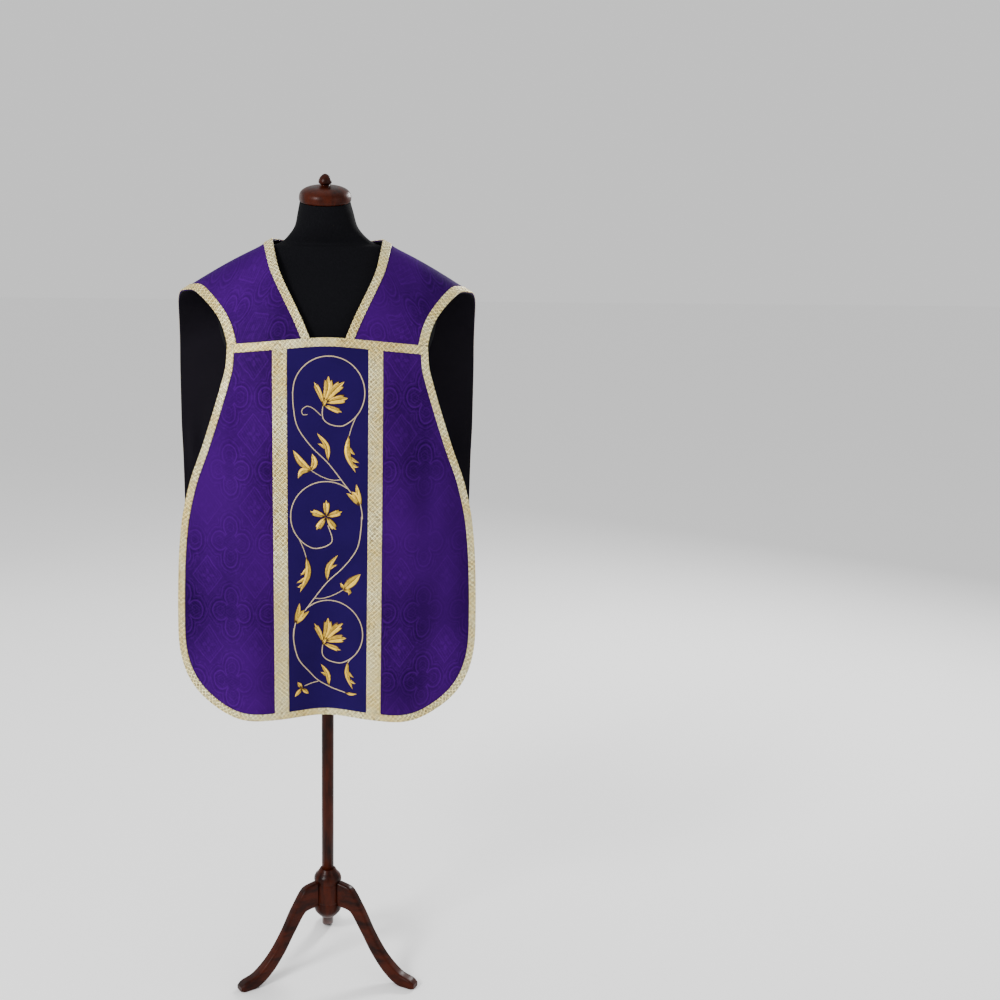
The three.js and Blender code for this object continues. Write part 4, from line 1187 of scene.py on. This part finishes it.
def lily(work, path, size):
    """A half-open lily: two slender outer petals and three broad ones that spread from its base."""
    broad = [((-0.13, -0.22), (-0.03, 0.1), (-0.01, 0.46)), ((-0.08, -0.22), (0.13, 0.06), (0.43, 0.31))]
    broad += [((-0.06, -0.27), (0.2, -0.19), (0.53, -0.14))]
    slender = [((-0.15, -0.3), (-0.25, -0.02), (-0.41, 0.3)), ((-0.13, -0.34), (0.1, -0.43), (0.37, -0.53))]
    for points in slender:
        work.petal(path(*points), 0.08 * size, 1.8)
    for points in broad:
        work.petal(path(*points), 0.135 * size)
    work.blade(path((-0.17, -0.38), (-0.12, -0.27), (-0.05, -0.17)), 0.06 * size, 2.6)


def star(work, centre, reach, lean=0.0):
    """Five petals round a point, 72 degrees apart."""
    for k in range(5):
        way = heading(90 + 72 * k + lean)
        work.petal([centre + way * reach * share for share in (0.06, 0.5, 1)], reach * 0.215)


def leaf(work, points, half, lobes, side):
    """A slender leaf with short pointed lobes on one side."""
    work.blade(points, half)
    line = curved(points)
    for share, reach in lobes:
        (start, end), length = evenly(line, [share, min(share + 0.3, 1)])
        ahead = (end - start) / np.linalg.norm(end - start)
        aside = np.array([ahead[1], -ahead[0]]) * side
        tip = start + (ahead * 0.62 + aside * 0.42) * reach * length
        work.blade([start, start + (tip - start) * 0.5 + ahead * 0.04 * length, tip], half * 0.55, 1.5)


def calyx(work, foot, ways, size):
    """A cup with prongs, where one stem grows out of another."""
    for tip, half in ways:
        middle = foot + (tip - foot) * 0.5 + np.array([0, 0.02 * size])
        work.blade([foot, middle, tip], half, 2.1, 0.55, 0.35)


def roundel_circle(start, end_at):
    """Points round the unit circle from an angle clockwise to -60 degrees, then inwards to a flower."""
    ring = heading(np.linspace(start, -60, 14)).T
    return [*ring, (0.3, -0.93), (0, -0.86), (-0.17, -0.67), end_at]


# %% A roundel of the scroll
# The distance between two roundels for which the design was drawn, as a share of the radius. Below
# the waist it is stretched to the true distance.
DRAWN_DROP, WAIST = 3.56, -0.6


def scroll_end(work, path, size, side):
    """The stem below the last roundel, with two leaves and a small spray of three buds."""
    main = [(-1, 0.2), (-1.0, -0.2), (-0.87, -0.75), (-0.55, -1.2), (-0.28, -1.5), (0.1, -1.72), (0.5, -1.84)]
    work.stem(path(*main))
    leaf(work, path((0.02, -1.66), (-0.02, -1.3), (-0.22, -0.98)), 0.085 * size, [(0.35, 0.5)], side)
    work.stem(path((0.72, -0.7), (0.62, -0.82), (0.58, -0.9)), 0.9)
    right_leaf = path((0.58, -0.86), (0.56, -1.25), (0.72, -1.7))
    leaf(work, right_leaf, 0.08 * size, [(0.3, 0.45), (0.6, 0.4)], side)
    work.stem(path((-0.3, -1.52), (-0.5, -1.56), (-0.7, -1.62)), 0.9)
    for tip in ((-0.98, -1.92), (-0.9, -1.48), (-0.58, -1.88)):
        work.blade(path((-0.78, -1.68), tip), 0.07 * size, 1.8, 0.4)
    work.blade(path((0.5, -1.84), (0.66, -1.86), (0.84, -1.83)), 0.05 * size, 1.5)


def scroll_link(work, path, size, side, buds):
    """The stem from one roundel to the next, with two leaves, a twig with buds, and a calyx."""
    main = [(-1, 0), (-0.98, -0.4), (-0.87, -0.95), (-0.5, -1.5), (-0.01, -2.0), (0.5, -2.68), (0.62, -2.84)]
    work.stem(path(*main))
    leaf(work, path((-0.02, -1.92), (-0.06, -1.5), (-0.33, -1.13)), 0.09 * size, [(0.35, 0.5)], side)
    work.stem(path((0.76, -0.65), (0.64, -0.95), (0.57, -1.2)), 0.9)
    right_leaf = path((0.56, -1.2), (0.52, -1.7), (0.75, -2.26))
    leaf(work, right_leaf, 0.1 * size, [(0.25, 0.42), (0.52, 0.45), (0.72, 0.3)], side)
    work.stem(path((0.36, -2.47), (0.1, -2.48), (-0.2, -2.38), (-0.5, -2.2)), 0.9)
    for middle, tip, half in buds:
        work.blade(path((-0.5, -2.2), middle, tip), half * size, 2.2, 0.35)
    foot, *prongs = path((0.87, -3.2), (0.5, -2.86), (0.77, -2.6))
    work.blade([foot, *path((0.78, -2.98), (0.64, -2.82))], 0.13 * size, 2.4, 0.5, 0.4)
    calyx(work, foot, [(prong, 0.085 * size) for prong in prongs], size)
    work.stem(path((0.88, -3.15), (0.93, -3.4), (0.95, -3.62)))


# Middle, tip, half width of each lobe.
OPEN_BUD = [((-0.78, -1.96), (-1.0, -1.62), 0.115), ((-0.4, -1.98), (-0.47, -1.72), 0.105)]
OPEN_BUD += [((-0.74, -2.22), (-0.86, -2.43), 0.095)]
CLOSED_BUD = [((-0.66, -2.02), (-0.98, -1.7), 0.15), ((-0.68, -2.24), (-0.64, -2.36), 0.07)]
CLOSED_BUD += [((-0.46, -2.08), (-0.4, -2.0), 0.06)]
TENDRIL = [(-0.22, -0.62), (-0.42, -0.44), (-0.6, -0.37), (-0.74, -0.47), (-0.72, -0.6), (-0.6, -0.6)]


def roundel(work, centre, size, drop, place):
    """One roundel of the scroll with its flower, and the stem below it. Its coordinates are shares of
    the roundel's radius. Place is 0, 1 or 2 from the top, and the middle one is mirrored."""
    over = -1 if place == 1 else 1
    stretch = drop / size / DRAWN_DROP

    def path(*points):
        lowered = [(x, z if z > WAIST else WAIST + (z - WAIST) * stretch) for x, z in points]
        return [centre + np.array([over * x, z]) * size for x, z in lowered]

    flower_base = (-0.05, -0.25) if place == 1 else (-0.16, -0.3)
    work.stem(path(*roundel_circle(180 if place == 0 else 128, flower_base)))
    if place == 1:
        star(work, centre, 0.47 * size)
    else:
        lily(work, path, size)
    if place == 0:
        work.stem(path(*TENDRIL), 0.9)
    if place == 2:
        scroll_end(work, path, size, -over)
    else:
        scroll_link(work, path, size, -over, CLOSED_BUD if place == 1 else OPEN_BUD)


def scroll(work, size, roundels):
    """Three roundels below each other: a lily, a star, a lily."""
    for place, (x, z, drop) in enumerate(roundels):
        roundel(work, np.array([x, z]), size, drop, place)


# %% Stitch the front column
# Centre across and up, distance to the next roundel.
FRONT_RADIUS, FRONT_SCROLL = 69, [(2, 1288, 240), (-3, 1048, 243), (1, 805, 240)]
front_work = Needlework(-1, lambda x, z: (x, z))
scroll(front_work, FRONT_RADIUS, FRONT_SCROLL)
front_stems = piece("front_stems", front_work.stems, stem_cord)
front_flowers = piece("front_flowers", front_work.petals, satin_stitch)

# %% [markdown]
# The back's design is drawn as it is seen from behind, so its first coordinate is turned round. Above
# the arms the cloth slopes away over the shoulders, and there heights on the design are lengths
# along the cloth, so that the top roundel stays round.

# %% Stitch the cross
BACK_RADIUS, BACK_SCROLL = 68, [(0, 1202, 227), (-5, 975, 222), (0, 753, 225)]
slope_z = spaced(ARM_TOP, (NECK_HEIGHT, 60))
slope_places = on_back(np.zeros_like(slope_z), slope_z)
slope_length = ARM_TOP + lengths(slope_places[:, None])[:, 0]


def from_behind(x, z):
    """Places on the cloth of places in the design."""
    return -x, np.where(z > ARM_TOP, np.interp(z, slope_length, slope_z), z)


back_work = Needlework(1, from_behind)
scroll(back_work, BACK_RADIUS, BACK_SCROLL)

# %% The medallion and its three stars
MEDALLION_Z, MEDALLION_WIDE, MEDALLION_HIGH = 1354, 91, 88
# A quarter of the frame, from its top to its side, and the runs of its points between corners.
FRAME = [(0, MEDALLION_HIGH), (26, 84), (47, 68), (48, 60), (62, 61)]
FRAME += [(62, 43), (74, 41), (87, 23), (MEDALLION_WIDE, 0)]
FRAME_RUNS = [(0, 3), (2, 4), (3, 5), (4, 6), (5, 7), (6, 9)]
FRAME_HALF, FRAME_THICK = 2.5, 2.4


def medallion(work, centre):
    """A quatrefoil frame with square corners between its four arcs, small crosses of petals on its
    axes, and a flower cross inside: a common church ornament."""
    for quarter in ((1, 1), (1, -1), (-1, 1), (-1, -1)):
        points = centre + np.array(FRAME, float) * quarter
        for first, last in FRAME_RUNS:
            work.gold_line(points[first:last], FRAME_HALF, FRAME_THICK)
    for way in ((0, MEDALLION_HIGH), (0, -MEDALLION_HIGH), (MEDALLION_WIDE, 0), (-MEDALLION_WIDE, 0)):
        knot = centre + np.array(way, float)
        for k in range(4):
            ahead = heading(90 * k)
            work.blade([knot + ahead, knot + ahead * 8, knot + ahead * 16], 3.2, 2.4, 0.3)
    for k in range(4):
        ahead = heading(90 * k)
        work.petal([centre + ahead * s for s in (5, 30, 58)], 13, 2.6)
        work.blade([centre + ahead * s for s in (10, 26, 42)], 3.5, 3.4, 0.4)
        ahead, aside = heading(90 * k + 45), heading(90 * k + 135)
        work.blade([centre + ahead * s for s in (8, 24, 44)], 6, 2.2, 0.3)
        for sign in (1, -1):
            lobe = [(16, 0), (25, 5 * sign), (30, 13 * sign)]
            work.blade([centre + ahead * out + aside * across for out, across in lobe], 3, 1.8, 0.3)
    ring = 7.5 * heading(np.linspace(0, 359, 17)).T
    work.stem(centre + ring, 1.8, 3.2)


def arm_roundel(work, centre, size, over):
    """A star in a roundel whose stem springs from the medallion. Over is -1 for the mirrored one."""

    def path(*points):
        return [centre + np.array([over * x, z]) * size for x, z in points]

    circle = heading(np.linspace(62, 268, 15)).T
    inward = [(0.2, -0.88), (0.36, -0.62), (0.36, -0.3), (0.2, -0.06), (-0.05, 0)]
    work.stem(path((1.3, 0.02), (1.05, 0.42), (0.78, 0.74), *circle, *inward))
    star(work, centre + np.array([-over * 0.2, 0]) * size, 0.5 * size, 9 * over)
    work.stem(path((0.37, -0.4), (0.44, -0.1), (0.56, 0.02), (0.68, -0.02), (0.68, -0.14), (0.6, -0.14)), 0.8)
    work.stem(path((0.78, 0.74), (0.82, 0.94), (0.98, 1.04), (1.12, 0.92)), 0.8)
    leaf(work, path((1.12, 0.95), (1.06, 0.7), (1.18, 0.38)), 0.1 * size, [(0.3, 0.4)], -over)
    low_leaf = path((0.2, -0.84), (0.5, -0.82), (0.86, -0.76))
    leaf(work, low_leaf, 0.085 * size, [(0.2, 0.5), (0.4, 0.5)], over)
    work.blade(path((-0.3, 0.96), (-0.5, 1.0), (-0.72, 0.98)), 0.04 * size, 1)
    work.blade(path((-0.92, -0.4), (-0.99, -0.56), (-1.0, -0.74)), 0.04 * size, 1)


def top_roundel(work, centre, size):
    """The star above the medallion. Its stem rises from the medallion's upper cross."""

    def path(*points):
        return [centre + np.array(p) * size for p in points]

    circle = heading(np.linspace(-32, 232, 18)).T[1:-1]
    rising, inward = [(0.05, -1.42), (0.45, -1.2), (0.75, -0.8)], [(-0.45, -0.84), (-0.1, -0.78)]
    work.stem(path(*rising, *circle, *inward, (0.08, -0.5), (0.04, -0.2)))
    star(work, centre, 0.5 * size)
    work.stem(path((-0.2, -0.82), (0.1, -0.86), (0.22, -1.05), (0.1, -1.18), (0.0, -1.08)), 0.8)
    work.stem(path((0.62, -1.0), (0.9, -0.95), (1.0, -1.15), (0.92, -1.3)), 0.8)
    leaf(work, path((0.96, -1.22), (0.75, -1.36), (0.45, -1.34)), 0.09 * size, [(0.3, 0.4)], 1)
    left_leaf = path((-0.72, -0.72), (-0.82, -1.0), (-0.8, -1.35))
    leaf(work, left_leaf, 0.08 * size, [(0.25, 0.45), (0.5, 0.3)], -1)
    work.blade(path((-0.6, 0.82), (-0.78, 0.9), (-0.95, 0.98)), 0.045 * size, 1)
    work.blade(path((0.66, 0.72), (0.8, 0.84), (0.86, 1.0)), 0.045 * size, 1)


def small_bud(work, place, side):
    """A bud of three lobes on a short stem, below the medallion."""
    for way in ((0, 11), (side * 10, -4), (-side * 9, -6)):
        work.blade([place, place + np.array(way) * 0.5, place + np.array(way)], 3.6, 1.8, 0.35)
    work.stem([place, place + [-side * 2, -14], place + [-side * 6, -24]], 0.8)


# Places and radii of the stars beside and above the medallion, and the place of a bud.
ARM_STAR_X, ARM_STAR_RADIUS = 169, 60
TOP_STAR, TOP_STAR_RADIUS = (2, 1512), 52
BUD_X, BUD_Z = 57, 1264

medallion(back_work, np.array([0, MEDALLION_Z]))
arm_roundel(back_work, np.array([-ARM_STAR_X, MEDALLION_Z]), ARM_STAR_RADIUS, 1)
arm_roundel(back_work, np.array([ARM_STAR_X, MEDALLION_Z]), ARM_STAR_RADIUS, -1)
top_roundel(back_work, np.array(TOP_STAR), TOP_STAR_RADIUS)
for sign in (-1, 1):
    small_bud(back_work, np.array([sign * BUD_X, BUD_Z]), sign)
back_stems = piece("back_stems", back_work.stems, stem_cord)
back_flowers = piece("back_flowers", back_work.petals, satin_stitch)

# %% [markdown]
# ## The dress form and its stand
#
# The form is a padded torso without limbs, covered in black jersey. Its sections are superellipses,
# whose sizes run smoothly from one height to the next. The turned parts are profiles spun about an
# axis, and a leg is a rounded bar whose height and depth change along its reach.


# %% Torso, shoulders and neck
# The maps of round parts: their height and the radii of the torso's and of the wooden parts'.
MAP_HEIGHT, TORSO_MAP, WOOD_MAP = 1000, 100, 10


def lofted(rings, round_map):
    """A closed solid through rings of points, shaped (rings, points, 3), with an end face on the first
    and the last ring."""
    rows, columns = rings.shape[:2]
    ids = np.arange(rows * columns).reshape(rows, columns)
    after = np.roll(ids, -1, axis=1)
    quads = np.stack([ids[:-1], after[:-1], after[1:], ids[1:]], -1).reshape(-1, 4)
    upward = np.linspace(0, MAP_HEIGHT, rows)[:, None]
    spread = np.stack(np.broadcast_arrays(round_map[None], upward), -1)
    return rings.reshape(-1, 3), quads, spread.reshape(-1, 2), [ids[0, ::-1], ids[-1]]


# Height, half width, half depth, centre, shift aside, power of the superellipse.
TORSO = [
    (855, 166, 102, 3, 0, 2.2),
    (868, 176, 110, 3, 0, 2.2),
    (910, 184, 116, 3, 0, 2.2),
    (980, 180, 112, 2, 0, 2.2),
    (1060, 168, 105, 0, 0, 2.2),
    (1140, 164, 104, -2, 0, 2.2),
    (1220, 174, 112, -5, 0, 2.2),
    (1290, 186, 118, -6, 0, 2.2),
    (1345, 198, 117, -4, 0, 2.2),
    (1395, 214, 113, 0, 0, 2.2),
    (1440, 220, 102, 5, 0, 2.2),
    (1474, 216, 86, 10, 0, 2.2),
]
for half, depth in ((205, 56), (180, 51), (155, 46), (128, 41)):
    steep = shoulder_height(half - 0.5) - shoulder_height(half + 0.5)
    under = (DAMASK + LINING + 3 * GAP) * np.hypot(1, steep)
    TORSO.append((shoulder_height(half) - under, half, depth, SHOULDER_DEPTH, 0, 2))
NECK = [
    (1566, 96, 36, 14, 0, 2),
    (1583, 74, 42, 11, -2, 2),
    (1602, 61, 48, 9, -3, 2),
    (1626, 55, 50, 7, -4, 2),
]
CAP_HEIGHT, CAP_RADIUS, CAP_CENTRE, CAP_ASIDE, CAP_TILT = 1646, 50, 5, -5, np.radians(12)

sections = np.array(TORSO + NECK)
count = len(sections)
fine = np.concatenate([spaced(0, (11, 66)), spaced(11, (count - 1, 48))[1:]])
columns = [along(list(enumerate(sections[:, k])), fine) for k in range(6)]
height, half, depth, centre, aside, power = (c[:, None] for c in columns)
angles = np.linspace(0, 2 * np.pi, 128, endpoint=False)


def bent(value, power):
    """A cosine or sine made squarer, for a superellipse of that power."""
    return np.sign(value) * np.abs(value) ** (2 / power)


x = aside + half * bent(np.cos(angles), power)
y = centre + depth * bent(np.sin(angles), power)
rings = np.stack(np.broadcast_arrays(x, y, height), -1)
back_way = CAP_RADIUS * np.sin(angles)
x = CAP_ASIDE + CAP_RADIUS * np.cos(angles)
y, z = CAP_CENTRE + back_way * np.cos(CAP_TILT), CAP_HEIGHT + back_way * np.sin(CAP_TILT)
neck_top = np.stack([x, y, z], -1)
between = [blend(rings[-1], neck_top, share) for share in (0.25, 0.5, 0.75, 1)]
rings = np.concatenate([rings, np.array(between)])
piece("jersey_torso", [lofted(rings, angles * TORSO_MAP)], jersey, ["form_body"])


# %% Cap, knob, hub and pole
def spun(profile, sides=72, place=(0, 0, 0), tilt=0.0):
    """A solid of revolution from rows of radius and height. Its two ends are small flat faces."""
    radius, height = np.array(profile, float).T
    turn = np.linspace(0, 2 * np.pi, sides, endpoint=False)
    x, y = radius[:, None] * np.cos(turn), radius[:, None] * np.sin(turn)
    z = np.broadcast_to(height[:, None], x.shape)
    leaned = np.stack([x, y * np.cos(tilt) - z * np.sin(tilt), y * np.sin(tilt) + z * np.cos(tilt)], -1)
    return lofted(leaned + np.array(place), turn * WOOD_MAP)


# Radius, height.
CAP_PROFILE = [(46, 0), (50, 1.2), (51.4, 5), (51.5, 9), (50.8, 14), (48, 19.5), (42, 24.4), (33, 28)]
CAP_PROFILE += [(22, 30), (14, 30.8), (9.5, 31.3), (8.3, 32), (8.6, 33.4), (10.6, 34.6), (12.6, 36)]
CAP_PROFILE += [(13.2, 38.4), (12.9, 41), (11.6, 44.6), (9.8, 47.6), (7.4, 50.3), (4.6, 52.6), (2, 53.7)]
CAP_PROFILE += [(0.3, 54)]
cap_place = (CAP_ASIDE, CAP_CENTRE, CAP_HEIGHT + GAP)
cap_wall = spun(curved(CAP_PROFILE, 4), 96, cap_place, CAP_TILT)
piece("turned_cap", [cap_wall], turned_wood, ["neck_cap"])

HUB_PROFILE = [(0.3, 118), (12, 118), (16, 120), (22, 126), (27, 132), (29.2, 137), (30, 143), (30, 150)]
HUB_PROFILE += [(29.3, 153), (28.6, 155), (29.3, 157), (30, 160), (30, 196), (29.3, 199), (28.6, 201)]
HUB_PROFILE += [(29.3, 203), (30, 206), (29.6, 212), (27, 218), (22, 223), (19.5, 227), (18, 230)]
HUB_PROFILE += [(16.5, 232), (0.3, 232)]
piece("turned_hub", [spun(HUB_PROFILE)], turned_wood, ["hub"])

POLE_PROFILE = [(0.3, 232.3), (12.4, 232.3), (13, 233), (13, 400), (13, 600), (13, 854)]
POLE_PROFILE += [(12.4, 854.7), (0.3, 854.7)]
piece("stand_pole", [spun(POLE_PROFILE, 64)], turned_wood, ["pole"])

# %% Legs
# Reach, underside, top, half width.
LEG_SECTIONS = [(30.4, 150, 206, 11), (56, 146, 200, 11), (86, 106, 160, 11), (114, 60, 108, 11)]
LEG_SECTIONS += [(144, 24, 64, 11.5), (170, 5, 38, 12.5), (184, 0, 28, 13), (208, 0, 20, 13)]
LEG_SECTIONS += [(218, 3, 13, 10)]
reach, under, top, half = np.array(LEG_SECTIONS, float).T
at = spaced(reach[0], (56, 5), (170, 30), (208, 10), (218, 8))
under, top, half = (along(list(zip(reach, values)), at)[:, None] for values in (under, top, half))
LEG_POWER = 5
ring_turn = np.linspace(0, 2 * np.pi, 40, endpoint=False)
aside = half * bent(np.cos(ring_turn), LEG_POWER)
height = (top + under) / 2 + (top - under) / 2 * bent(np.sin(ring_turn), LEG_POWER)
leg_rings = np.stack(np.broadcast_arrays(at[:, None], aside, height), -1)
for name, turn in (("leg_right", -60), ("leg_left", 60), ("leg_back", 180)):
    a = np.radians(turn - 90)
    spin = np.array([[np.cos(a), -np.sin(a), 0], [np.sin(a), np.cos(a), 0], [0, 0, 1]])
    wall = lofted(leg_rings @ spin.T, ring_turn * WOOD_MAP)
    piece(f"curved_{name}", [wall], leg_wood, [name])

# %% [markdown]
# ## Floor
#
# A plain pale sheet under the feet, wide enough to fill the view.

# %% Lay the floor
FLOOR_HALF = 30
floor_mesh = bpy.data.meshes.new("floor")
corners = [(x * FLOOR_HALF, y * FLOOR_HALF, 0) for x, y in ((-1, -1), (1, -1), (1, 1), (-1, 1))]
floor_mesh.from_pydata(corners, [], [(0, 1, 2, 3)])
floor = bpy.data.objects.new("floor", floor_mesh)
bpy.context.scene.collection.objects.link(floor)
paper = Finish("pale_floor")
paper.fixed(Base_Color=(0.95, 0.95, 0.95, 1), Roughness=0.9, Specular_IOR_Level=0.2)
floor_mesh.materials.append(paper.material)
